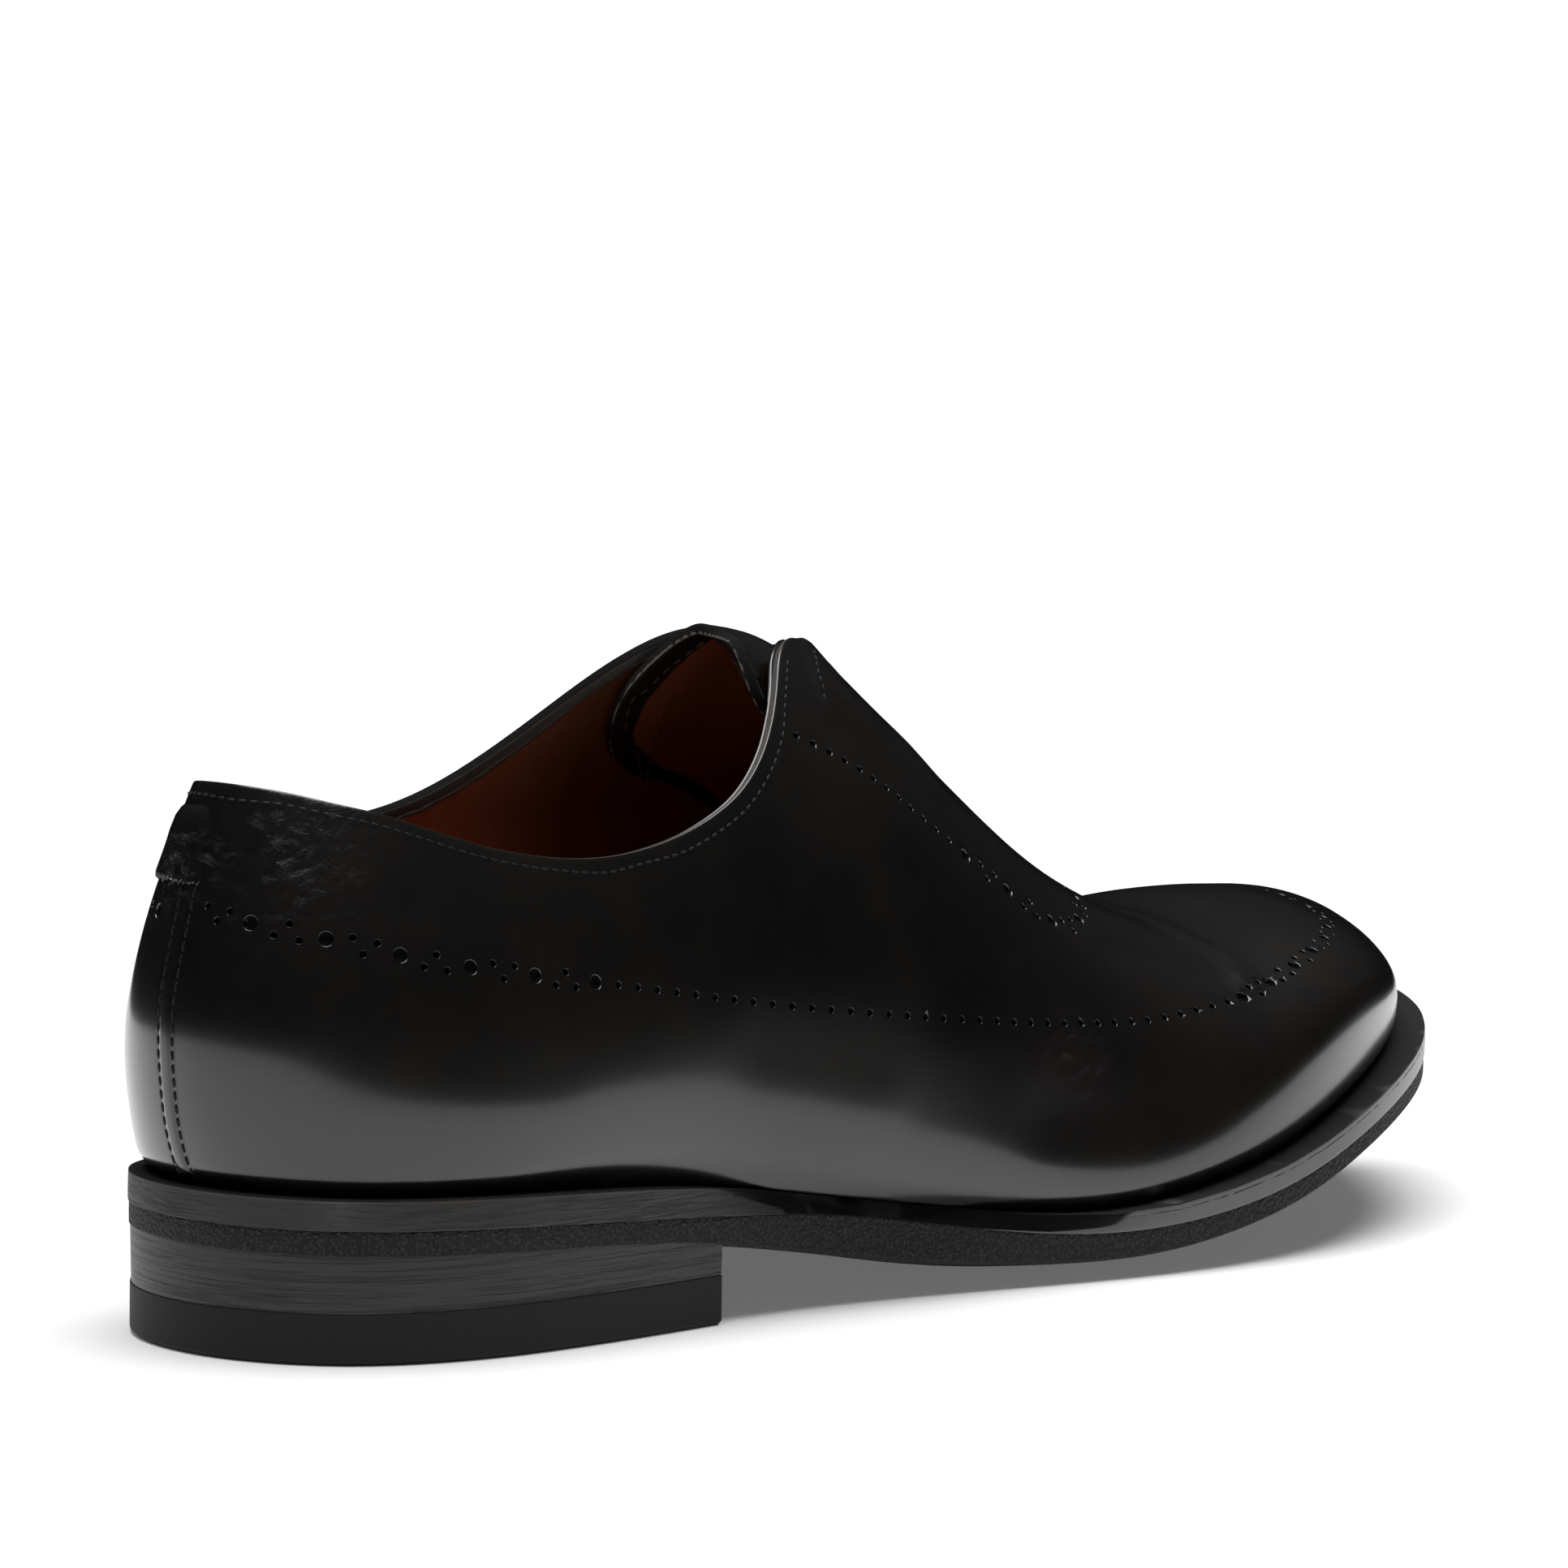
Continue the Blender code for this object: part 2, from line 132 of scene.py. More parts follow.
def meshPiece(name, verts, faces):
    mesh = bpy.data.meshes.new(name)
    mesh.from_pydata(verts, [], faces)
    piece = bpy.data.objects.new(name, mesh)
    bpy.context.scene.collection.objects.link(piece)
    only(piece)
    bpy.ops.object.shade_smooth()
    return piece


def place(piece, material, node=None):
    if material:
        piece.data.materials.clear()
        piece.data.materials.append(material)
    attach(piece, "root")
    if node:
        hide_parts(node)


def refine(piece, levels):
    applyModifier(piece, "SUBSURF", levels=levels, render_levels=levels)
    only(piece)
    bpy.ops.object.shade_smooth()


def bevelEdges(piece, width, segments, angle):
    applyModifier(piece, "BEVEL", width=width * mm, segments=segments, limit_method="ANGLE",
                  angle_limit=math.radians(angle))


def pushOut(piece, height, chosen=None):  # moves each corner, or only the chosen ones, along its normal
    corners = piece.data.vertices
    normals = [v.normal.copy() for v in corners]
    for vertex, normal in zip(corners, normals):
        if chosen is None or vertex.index in chosen:
            vertex.co += normal * height(vertex.co)


def smoothLine(points, step, closed=False):  # evenly spaced places on a smooth line through a few points
    if closed:
        ends = [points[-1]] + points + points[:2]
    else:
        ends = [points[0] * 2 - points[1]] + points + [points[-1] * 2 - points[-2]]
    fine = []
    for a, b, c, d in zip(ends, ends[1:], ends[2:], ends[3:]):
        slope, curve, twist = c - a, a * 2 - b * 5 + c * 4 - d, b * 3 - a - c * 3 + d
        for i in range(16):
            t = i / 16
            fine.append((b * 2 + slope * t + curve * t ** 2 + twist * t ** 3) * 0.5)
    fine.append(ends[-2].copy())
    lengths = [0]
    for a, b in zip(fine, fine[1:]):
        lengths.append(lengths[-1] + (b - a).length)
    count = max(round(lengths[-1] / step), 1)
    out, k = [], 0
    for i in range(count if closed else count + 1):
        mark = lengths[-1] * i / count
        while k < len(fine) - 2 and lengths[k + 1] < mark:
            k += 1
        share = (mark - lengths[k]) / max(lengths[k + 1] - lengths[k], 1e-9)
        out.append(fine[k].lerp(fine[k + 1], min(share, 1)))
    return out


def pointTree(line):  # finds the nearest of a line's points
    tree = KDTree(len(line))
    for i, point in enumerate(line):
        tree.insert(point, i)
    tree.balance()
    return tree


def copies(name, shape, matrices):  # one shape repeated and joined
    for matrix in matrices:
        twin = shape.copy()
        twin.data = shape.data.copy()
        twin.data.transform(matrix)
        bpy.context.scene.collection.objects.link(twin)
        twin.select_set(True)
    shape.select_set(False)
    bpy.context.view_layer.objects.active = twin
    bpy.ops.object.join()
    twin.name = name
    return twin


# camera at the photograph's place

view = {"place": (-0.921365, -0.90344, 0.199559), "turn": (84.6698, -0.6735, -44.9128), "lens": 179.265,
        "sensor": 36}
bpy.ops.object.camera_add(location=view["place"], rotation=[math.radians(a) for a in view["turn"]])
camera = bpy.context.object
camera.data.lens = view["lens"]
camera.data.sensor_width = view["sensor"]
bpy.context.scene.camera = camera

# pale table the leather mirrors, pale floor and wall past it, soft light from above

studio = {"paper": "F4F4F4", "tableRadius": 0.6, "floorSize": 120, "floorDrop": 0.0003, "floorFill": 0.13,
          "sun": 3.45, "sunAngle": 52, "horizon": 0.004, "zenith": 0.06, "wallAway": 35, "wallWidth": 90,
          "wallHeight": 2}
# the table and floor glow faintly (floorFill): a painted fill light that lightens the shadow under the shoe
paper = newMaterial("matt paper with painted fill glow", {
    "Base Color": linear(studio["paper"]), "Roughness": 0.9, "Specular IOR Level": 0.2,
    "Emission Color": (1, 1, 1, 1), "Emission Strength": studio["floorFill"]})[0]
bpy.ops.mesh.primitive_circle_add(vertices=128, radius=studio["tableRadius"], fill_type="NGON")
table = bpy.context.object
table.name = "table"
bpy.ops.mesh.primitive_plane_add(size=studio["floorSize"], location=(0, 0, -studio["floorDrop"]))
floor = bpy.context.object
floor.name = "floor"
bpy.ops.mesh.primitive_plane_add(size=1, rotation=(math.radians(90), 0, math.radians(-45)))
wall = bpy.context.object
wall.name = "wall"
wall.scale = (studio["wallWidth"], studio["wallHeight"], 1)
wall.location = (studio["wallAway"], studio["wallAway"], studio["wallHeight"] / 2)
backdrop = newMaterial("lit backdrop", {
    "Base Color": linear(studio["paper"]), "Emission Color": (1, 1, 1, 1), "Emission Strength": 1.0})[0]
for ground, finish in ((table, paper), (floor, paper), (wall, backdrop)):
    only(ground)
    bpy.ops.object.transform_apply(location=True, rotation=True, scale=True)
    ground.data.materials.append(finish)
    ground.visible_glossy = ground == table  # the far floor is not mirrored
bpy.ops.object.light_add(type="SUN")
sun = bpy.context.object
sun.data.energy = studio["sun"]
sun.data.angle = math.radians(studio["sunAngle"])
world = bpy.data.worlds.new("studio")
bpy.context.scene.world = world
world.use_nodes = True
sky = world.node_tree.nodes["Background"]
sky.inputs["Color"].default_value = (1, 1, 1, 1)
coords = addNode(world.node_tree, "ShaderNodeTexCoord")
axes = addNode(world.node_tree, "ShaderNodeSeparateXYZ", None, {0: coords.outputs["Generated"]})
rise = addNode(world.node_tree, "ShaderNodeMapRange", {
    "From Min": 0.05, "From Max": 0.7, "To Min": studio["horizon"], "To Max": studio["zenith"]},
    {"Value": axes.outputs["Z"]})  # a dim ceiling over dark walls
world.node_tree.links.new(rise.outputs["Result"], sky.inputs["Strength"])
bpy.context.scene.view_settings.view_transform = "Standard"
print("camera and light")


# finishes that several leathers share

def fineGrain(tree, shader, size, strength, depth, detail, roughness=0.5):  # relief of one grain size
    coords = addNode(tree, "ShaderNodeTexCoord")
    grain = addNode(tree, "ShaderNodeTexNoise", {
        "Scale": 1000 / size, "Detail": detail, "Roughness": roughness}, {"Vector": coords.outputs["Object"]})
    bump = addNode(tree, "ShaderNodeBump", {"Strength": strength, "Distance": depth * mm},
                   {"Height": grain.outputs["Fac"]})
    tree.links.new(bump.outputs["Normal"], shader.inputs["Normal"])
    return grain, bump


def twoTone(tree, shader, dark, light, share):  # base colour between two tones
    tint = addNode(tree, "ShaderNodeMix", {"data_type": "RGBA", 6: linear(dark), 7: linear(light)},
                   {"Factor": share})
    tree.links.new(tint.outputs[2], shader.inputs["Base Color"])


def alongShoe(tree, start, end):  # 0 to 1 between two places along the shoe
    coords = addNode(tree, "ShaderNodeTexCoord")
    axes = addNode(tree, "ShaderNodeSeparateXYZ", None, {0: coords.outputs["Object"]})
    share = addNode(tree, "ShaderNodeMapRange", {"From Min": at(start, 0, 0).x, "From Max": at(end, 0, 0).x},
                    {"Value": axes.outputs["X"]})
    return share.outputs["Result"]


# black box calf: dyed through and polished with wax, so a clear gloss over a fine grain, with a brownish
# bloom in places and slack wrinkles at the heel's top and at the bend of the vamp
calfSet = {"grain": 0.6, "bloom": 45, "wrinkle": 2.6,  # sizes in millimetres
           "slack": [((7, -11, 76), 24), ((165, -40, 46), 22), ((4, 16, 78), 20)]}  # place and reach
calf, tree, shader = newMaterial("black box calf", {
    "Roughness": 0.26, "IOR": 1.5, "Coat Weight": 0.7, "Coat Roughness": 0.15})
coords = addNode(tree, "ShaderNodeTexCoord")
bloom = addNode(tree, "ShaderNodeTexNoise", {
    "Scale": 1000 / calfSet["bloom"], "Detail": 6, "Roughness": 0.65}, {"Vector": coords.outputs["Object"]})
bloom = addNode(tree, "ShaderNodeMapRange", {"From Min": 0.4, "From Max": 0.7},
                {"Value": bloom.outputs["Fac"]})
twoTone(tree, shader, "040404", "17130F", bloom.outputs["Result"])
bump = fineGrain(tree, shader, calfSet["grain"], strength=0.12, depth=0.1, detail=3, roughness=0.6)[1]
wrinkles = addNode(tree, "ShaderNodeTexNoise", {
    "Scale": 1000 / calfSet["wrinkle"], "Detail": 5, "Roughness": 0.65, "Distortion": 1.2},
    {"Vector": coords.outputs["Object"]})
for spot, reach in calfSet["slack"]:
    near = addNode(tree, "ShaderNodeMapping", {
        "Location": tuple(-at(*spot) / (reach * mm)), "Scale": (1 / (reach * mm),) * 3},
        {"Vector": coords.outputs["Object"]})
    near = addNode(tree, "ShaderNodeTexGradient", {"gradient_type": "SPHERICAL"},
                   {"Vector": near.outputs["Vector"]})
    height = addNode(tree, "ShaderNodeMath", {"operation": "MULTIPLY"},
                     {0: near.outputs["Fac"], 1: wrinkles.outputs["Fac"]})
    bump = addNode(tree, "ShaderNodeBump", {"Strength": 0.42, "Distance": 0.8 * mm},
                   {"Height": height.outputs[0], "Normal": bump.outputs["Normal"]})
tree.links.new(bump.outputs["Normal"], shader.inputs["Normal"])

# folded calf edge: stretched over the fold and rubbed, so duller than the face and paler away from the heel
# its pale tone is partly painted light: the light caught by the near cut edge and the far inner strip's
# highlights
foldSet = {"scuff": 0.556, "black": 30, "worn": 72}  # scuff size, and where along the shoe the dye wears off
foldedEdge, tree, shader = newMaterial("rubbed calf edge with painted light", {"Roughness": 0.5, "Specular IOR Level": 0.4})
twoTone(tree, shader, "080808", "5C5855", alongShoe(tree, foldSet["black"], foldSet["worn"]))
fineGrain(tree, shader, foldSet["scuff"], strength=0.7, depth=0.3, detail=4, roughness=0.8)

# mahogany lining calf: warm brown, soft sheen, faint pores; lighter towards the heel where the light falls in
# and darker towards the toe deeper inside, painted light and shade
brownSet = {"pores": 0.714, "dark": 102, "light": 66, "insolePores": 0.833}
lining, tree, shader = newMaterial("mahogany lining calf", {"Roughness": 0.5, "Specular IOR Level": 0.3})
twoTone(tree, shader, "60361E", "BC7654", alongShoe(tree, brownSet["dark"], brownSet["light"]))
fineGrain(tree, shader, brownSet["pores"], strength=0.2, depth=0.2, detail=3)

# insole cover: the same brown gone dark under the foot, dull, with faint pores
insoleCover, tree, shader = newMaterial("worn insole leather", {
    "Base Color": linear("7C4730"), "Roughness": 0.6, "Specular IOR Level": 0.25})
fineGrain(tree, shader, brownSet["insolePores"], strength=0.2, depth=0.2, detail=3)

# raw cut edge: the fibres of half-dyed leather, a little fuzzy, drawn coarser than real to show
fibreSet = {"raw": 0.4, "punched": 0.333, "cutEnd": 0.556, "thread": 0.3}  # fibre sizes in millimetres
rawEdge, tree, shader = newMaterial("raw leather edge", {"Base Color": linear("4A423C"), "Roughness": 0.85})
fineGrain(tree, shader, fibreSet["raw"], strength=1, depth=0.4, detail=4, roughness=0.8)

# crumb rubber: matt black with a coarse pebbled skin
crumbSet = {"pebble": 0.667, "dust": 0.909}
crumb, tree, shader = newMaterial("crumb rubber", {"Roughness": 0.6, "Specular IOR Level": 0.4})
coords = addNode(tree, "ShaderNodeTexCoord")
grains = addNode(tree, "ShaderNodeTexVoronoi", {"Scale": 1000 / crumbSet["pebble"], "Randomness": 1},
                 {"Vector": coords.outputs["Object"]})
dust = addNode(tree, "ShaderNodeTexNoise", {"Scale": 1000 / crumbSet["dust"], "Detail": 4, "Roughness": 0.8},
               {"Vector": coords.outputs["Object"]})
height = addNode(tree, "ShaderNodeMath", {"operation": "SUBTRACT"},
                 {0: dust.outputs["Fac"], 1: grains.outputs["Distance"]})
shades = addNode(tree, "ShaderNodeMapRange", {"From Min": 0.0, "From Max": 0.4}, {"Value": height.outputs[0]})
twoTone(tree, shader, "030303", "323231", shades.outputs["Result"])
bump = addNode(tree, "ShaderNodeBump", {"Strength": 1, "Distance": 0.7 * mm}, {"Height": height.outputs[0]})
tree.links.new(bump.outputs["Normal"], shader.inputs["Normal"])

# edge-dyed sole leather: black, sanded and waxed, the fibre layers left as fine level lines
stackSet = {"layerLength": 25, "layer": 0.4167, "tilt": 1.5}
stackLeather, tree, shader = newMaterial("edge dyed sole leather", {
    "Roughness": 0.42, "Specular IOR Level": 0.45})
coords = addNode(tree, "ShaderNodeTexCoord")
stretch = addNode(tree, "ShaderNodeMapping", {
    "Scale": (1000 / stackSet["layerLength"], 1000 / stackSet["layerLength"], 1000 / stackSet["layer"]),
    "Rotation": (0, math.radians(stackSet["tilt"]), 0)}, {"Vector": coords.outputs["Object"]})
layers = addNode(tree, "ShaderNodeTexNoise", {"Scale": 1, "Detail": 4, "Roughness": 0.75},
                 {"Vector": stretch.outputs["Vector"]})
lines = addNode(tree, "ShaderNodeMapRange", {"From Min": 0.36, "From Max": 0.48},
                {"Value": layers.outputs["Fac"]})
twoTone(tree, shader, "121212", "272728", lines.outputs["Result"])
bump = addNode(tree, "ShaderNodeBump", {"Strength": 0.35, "Distance": 0.2 * mm},
               {"Height": lines.outputs["Result"]})
tree.links.new(bump.outputs["Normal"], shader.inputs["Normal"])

# moulded rubber: matt, with the faint level drag marks of trimming
liftSet = {"dragLength": 8.333, "drag": 1.111}
liftRubber, tree, shader = newMaterial("moulded rubber", {
    "Base Color": linear("151516"), "Roughness": 0.6, "Specular IOR Level": 0.28})
coords = addNode(tree, "ShaderNodeTexCoord")
stretch = addNode(tree, "ShaderNodeMapping", {
    "Scale": (1000 / liftSet["dragLength"], 1000 / liftSet["dragLength"], 1000 / liftSet["drag"])},
    {"Vector": coords.outputs["Object"]})
drag = addNode(tree, "ShaderNodeTexNoise", {"Scale": 1, "Detail": 5, "Roughness": 0.7},
               {"Vector": stretch.outputs["Vector"]})
bump = addNode(tree, "ShaderNodeBump", {"Strength": 0.2, "Distance": 0.2 * mm},
               {"Height": drag.outputs["Fac"]})
tree.links.new(bump.outputs["Normal"], shader.inputs["Normal"])

# inside of a punched hole: rough raw fibres that swallow the light
holeWall, tree, shader = newMaterial("punched leather fibre", {
    "Base Color": linear("030303"), "Roughness": 0.8, "Specular IOR Level": 0.15})
fineGrain(tree, shader, fibreSet["punched"], strength=0.6, depth=0.2, detail=2)

# waxed thread: slight shine on each stitch, broken by its fibres
thread, tree, shader = newMaterial("waxed black thread", {
    "Base Color": linear("0B0B0A"), "Roughness": 0.52, "Specular IOR Level": 0.33})
fineGrain(tree, shader, fibreSet["thread"], strength=0.4, depth=0.1, detail=2)
brownThread, tree, shader = newMaterial("waxed brown thread", {
    "Base Color": linear("44281A"), "Roughness": 0.5})
fineGrain(tree, shader, fibreSet["thread"], strength=0.4, depth=0.1, detail=2)
print("materials")


# walls of a sheet: outer 0, inner 1, cut edge 2

def pickWall(piece, nearTo, index):
    only(piece)
    for polygon in piece.data.polygons:
        polygon.select = False
    unsorted = [p for p in piece.data.polygons if p.material_index == 2]
    min(unsorted, key=lambda p: (p.center - nearTo).length).select = True
    bpy.ops.object.mode_set(mode="EDIT")
    bpy.ops.mesh.select_linked(delimit={"SEAM"})
    bpy.ops.object.mode_set(mode="OBJECT")
    for polygon in piece.data.polygons:
        if polygon.select:
            polygon.material_index = index


def splitWalls(piece, outerPoint, innerPoint, materials):
    only(piece)
    bpy.ops.object.mode_set(mode="EDIT")
    bpy.ops.mesh.select_mode(type="EDGE")
    bpy.ops.mesh.select_all(action="DESELECT")
    bpy.ops.mesh.edges_select_sharp(sharpness=math.radians(50))
    bpy.ops.mesh.mark_seam(clear=False)
    bpy.ops.mesh.select_all(action="DESELECT")
    bpy.ops.mesh.select_mode(type="FACE")
    bpy.ops.object.mode_set(mode="OBJECT")
    for material in materials:
        piece.data.materials.append(material)
    for polygon in piece.data.polygons:
        polygon.material_index = 2
    pickWall(piece, outerPoint, 0)
    pickWall(piece, innerPoint, 1)
    print(piece.name, "walls", [sum(p.material_index == k for p in piece.data.polygons) for k in range(3)])


def wallTree(piece, index):  # one wall to find places on
    mesh = piece.data
    faces = [p for p in mesh.polygons if p.material_index == index]
    return BVHTree.FromPolygons([v.co for v in mesh.vertices], [list(p.vertices) for p in faces])


def edgeLoop(piece, wall, lowest, highest=200):  # ordered corners of the cut edge beside one wall
    mesh = piece.data
    kinds, links = {}, {}
    for polygon in mesh.polygons:
        for key in polygon.edge_keys:
            kinds.setdefault(key, []).append(polygon.material_index)
    for (a, b), pair in kinds.items():
        heights = [mesh.vertices[i].co.z / mm for i in (a, b)]
        if sorted(pair) == [wall, 2] and lowest < min(heights) and max(heights) < highest:
            links.setdefault(a, []).append(b)
            links.setdefault(b, []).append(a)
    loose = [i for i in links if len(links[i]) == 1]
    order = [min(loose or links, key=lambda i: mesh.vertices[i].co.x)]
    way = Vector((0, -1, 0))
    while True:
        here = mesh.vertices[order[-1]].co
        ahead = [i for i in links[order[-1]] if i not in order]
        if not ahead:
            return [mesh.vertices[i].co.copy() for i in order]
        order.append(max(ahead, key=lambda i: (mesh.vertices[i].co - here).normalized().dot(way)))
        way = mesh.vertices[order[-1]].co - here


def downWall(line, wall, distance, closed, probe=3):  # a line moved down its wall from the cut edge
    out = []
    for i, point in enumerate(line):
        ahead = line[(i + 1) % len(line)] if closed or i + 1 < len(line) else point
        behind = line[i - 1] if closed or i else point
        along = (ahead - behind).normalized()
        normal = wall.find_nearest(point)[1]
        aside = along.cross(normal).normalized()
        reach = [wall.find_nearest(point + aside * s * probe * mm)[3] for s in (1, -1)]
        way = aside if reach[0] < reach[1] else -aside
        out.append(wall.find_nearest(point + way * distance * mm)[0])
    return out


# upper: the CAD shell made smooth, with the instep panel and the walking creases pressed into it

upperSet = {"edgeRound": 0.7, "levels": 2, "foldStep": 1.5, "tuck": 1.4, "tuckHeight": 1.7, "tuckBelow": 45,
            "waistTuck": 2.2, "waist": 68, "waistBack": 22, "waistFront": 55, "settle": 0.3, "turnOver": 5,
            "farRim": 2, "collar": 60, "footStep": 1.5, "rimStep": 0.5}
panelSet = {"raise": 0.5, "half": 20.5, "start": 127, "slant": 0.5, "end": 150, "lowest": 70, "step": 1,
            "fade": 4}
dentSet = {"depth": 0.8, "front": 15, "foot": (50, 68), "head": (74, 81), "middle": 3, "half": (5, 15)}
creases = [  # line, width and height of each soft fold, in millimetres
    ([(213, 13, 52.5), (210.5, 1.5, 54.3), (207, -13.5, 52.8), (206.5, -22.5, 50.4), (207.5, -28.5, 48),
      (205, -34, 45)], 2.2, 0.7),
    ([(176, -30, 54), (186, -29, 50), (195, -31, 46.5)], 3.0, -0.25),
    ([(119, -19, 96.3), (131, -19.2, 89.7), (145, -16, 83.3), (155, -15.4, 77)], 1.2, -0.35),
    ([(112, -28.5, 82), (118, -31, 75), (126, -33.5, 66), (128.5, -35.5, 57), (129, -37, 51)], 6, -0.45),
    ([(10, -25, 46), (25, -33, 45), (42, -36, 44)], 9, -0.45),
    ([(90, -37, 44), (115, -40, 40), (148, -43, 33)], 8, -0.3),
    ([(122, -39.5, 30), (145, -42, 27), (166, -43, 26), (182, -43.6, 28.5)], 6.5, -0.2),
    ([(148, -42.3, 26.5), (160, -42.8, 26), (170, -43.2, 26.5), (186, -43.7, 29)], 5.5, -0.22),
    ([(156, -43, 31.5), (180, -44, 33), (205, -44.5, 38.5), (230, -39, 44.5), (250, -28, 46)], 8, -0.35)]
upper = copyNode("upper", "upper_piece")
splitWalls(upper, outerPoint=at(60, -60, 50), innerPoint=at(60, -30, 50),
           materials=[calf, lining, foldedEdge, holeWall])
rimOuter = edgeLoop(upper, 0, upperSet["collar"])
rimInner = edgeLoop(upper, 1, upperSet["collar"])
footLine = edgeLoop(upper, 0, lowest=0, highest=upperSet["collar"])
footLine = smoothLine(footLine, upperSet["footStep"] * mm, True)
print("rim", len(rimOuter), len(rimInner), "foot", len(footLine))

liningPiece = upper.copy()
liningPiece.data = upper.data.copy()
bpy.context.scene.collection.objects.link(liningPiece)

bevelEdges(upper, upperSet["edgeRound"], segments=2, angle=50)
refine(upper, upperSet["levels"])
bare = wallTree(upper, 0)
folds = []
for line, width, height in creases:
    path = smoothLine([at(*p) for p in line], upperSet["foldStep"] * mm)
    folds.append(([bare.find_nearest(p)[0] for p in path], width * mm, height * mm))
foot = pointTree(footLine)
area = sum(a.x * b.y - b.x * a.y for a, b in zip(footLine, footLine[1:] + footLine[:1]))
footTurn = -1 if area > 0 else 1  # which side of the foot line is inside


def relief(point):  # how far the skin stands out at a place
    spot = own(point)
    push = 0
    if spot.z > panelSet["lowest"]:
        past = abs(spot.y) - panelSet["half"]
        begun = spot.x - panelSet["start"] + panelSet["slant"] * abs(spot.y)
        ended = spot.x - panelSet["end"]
        step, fade = panelSet["step"], panelSet["fade"]
        push += panelSet["raise"] * mm * (1 - between(-step, step, past)) * between(
            -step, step, begun) * (1 - between(-fade, fade, ended))
    for line, width, height in folds:
        away = min((point - p).length for p in line)
        if away < 3 * width:
            push += height * math.exp(-(away / width) ** 2)
    if spot.x < dentSet["front"]:  # room for the heel tab and for what hangs straight under it
        push -= dentSet["depth"] * mm * between(*dentSet["foot"], spot.z) * (
            1 - between(*dentSet["head"], spot.z)) * (
            1 - between(*dentSet["half"], abs(spot.y - dentSet["middle"])))
    return push


wallCorners = [{i for p in upper.data.polygons if p.material_index == k for i in p.vertices}
               for k in range(3)]
pushOut(upper, relief, wallCorners[0])
for i in (wallCorners[0] | wallCorners[2]) - wallCorners[1]:  # drawn in where it is lasted under
    corner = upper.data.vertices[i].co
    if corner.z < upperSet["tuckBelow"] * mm:
        nearest, k, away = foot.find(corner)
        along = footLine[(k + 1) % len(footLine)] - footLine[k - 1]
        inward = Vector((along.y, -along.x, 0)).normalized() * footTurn
        ahead = own(corner).x - upperSet["waist"]
        spread = upperSet["waistFront"] if ahead > 0 else upperSet["waistBack"]
        reach = upperSet["tuckHeight"] + upperSet["waistTuck"] * math.exp(-(ahead / spread) ** 2)
        height = (corner.z - nearest.z) / mm / reach
        corner += inward * upperSet["tuck"] * mm * math.exp(-height ** 2)
        corner.z -= upperSet["settle"] * mm * math.exp(-height ** 2)  # down onto the welt
place(upper, None, "upper")
skin = wallTree(upper, 0)
rim = pointTree(smoothLine(rimInner, upperSet["rimStep"] * mm, True))
for polygon in upper.data.polygons:
    far = own(polygon.center).y > upperSet["farRim"]
    if polygon.material_index == 1 and rim.find(polygon.center)[2] < upperSet["turnOver"] * mm:
        polygon.material_index = 2 if far else 0  # the calf is turned over the edge and ends inside; the far strip takes the pale edge finish, a painted highlight
    elif polygon.material_index == 2 and far:
        polygon.material_index = 3  # the far cut edge is painted dark, a painted shade for its own shadow
print("upper", len(upper.data.polygons))

# lining: thin brown sheet inside, its top edge just under the folded topline, the cut edge fuzzy

liningSet = {"below": 1.9, "inside": 0.12, "edgeRadius": 0.4, "fuzz": 0.2, "fuzzSize": 1.111, "step": 2,
             "fuzzStep": 0.8}
innerWall = wallTree(liningPiece, 1)
edgeLine = smoothLine(rimInner, liningSet["step"] * mm, True)
liningTop = downWall(edgeLine, innerWall, liningSet["below"], True)
only(liningPiece)
liningPiece.name = "lining"
bpy.ops.object.mode_set(mode="EDIT")
bpy.ops.mesh.select_all(action="DESELECT")
bpy.ops.object.mode_set(mode="OBJECT")
for polygon in liningPiece.data.polygons:
    polygon.select = polygon.material_index != 1
bpy.ops.object.mode_set(mode="EDIT")
bpy.ops.mesh.delete(type="FACE")
bpy.ops.object.mode_set(mode="OBJECT")
for vertex in liningPiece.data.vertices:
    if min((p - vertex.co).length for p in rimInner) < 0.1 * mm:  # a corner of the rim
        k = min(range(len(edgeLine)), key=lambda i: (edgeLine[i] - vertex.co).length)
        vertex.co = liningTop[k]
for polygon in liningPiece.data.polygons:
    polygon.material_index = 0
refine(liningPiece, levels=1)
pushOut(liningPiece, lambda point: liningSet["inside"] * mm)
place(liningPiece, lining)


def tube(name, line, radius, closed, resolution=3):
    curve = bpy.data.curves.new(name, "CURVE")
    curve.dimensions = "3D"
    curve.bevel_depth = radius * mm
    curve.bevel_resolution = resolution
    curve.use_fill_caps = True
    spline = curve.splines.new("POLY")
    spline.points.add(len(line) - 1)
    for point, spot in zip(spline.points, line):
        point.co = (*spot, 1)
    spline.use_cyclic_u = closed
    piece = bpy.data.objects.new(name, curve)
    bpy.context.scene.collection.objects.link(piece)
    only(piece)
    bpy.ops.object.convert(target="MESH")
    bpy.ops.object.shade_smooth()
    return bpy.context.object


fuzzyLine = []
for point in smoothLine(liningTop, liningSet["fuzzStep"] * mm, True):
    seed = point / (liningSet["fuzzSize"] * mm)
    shake = [noise.noise(seed + Vector(shift)) for shift in ((0, 0, 0), (5, 5, 5), (9, 1, 4))]
    fuzzyLine.append(point + Vector(shake) * liningSet["fuzz"] * mm)
liningEdge = tube("lining_edge", fuzzyLine, liningSet["edgeRadius"], True, 2)
place(liningEdge, rawEdge)

# bead: the bright rolled line along the inner rim, from the near waist to the near peak

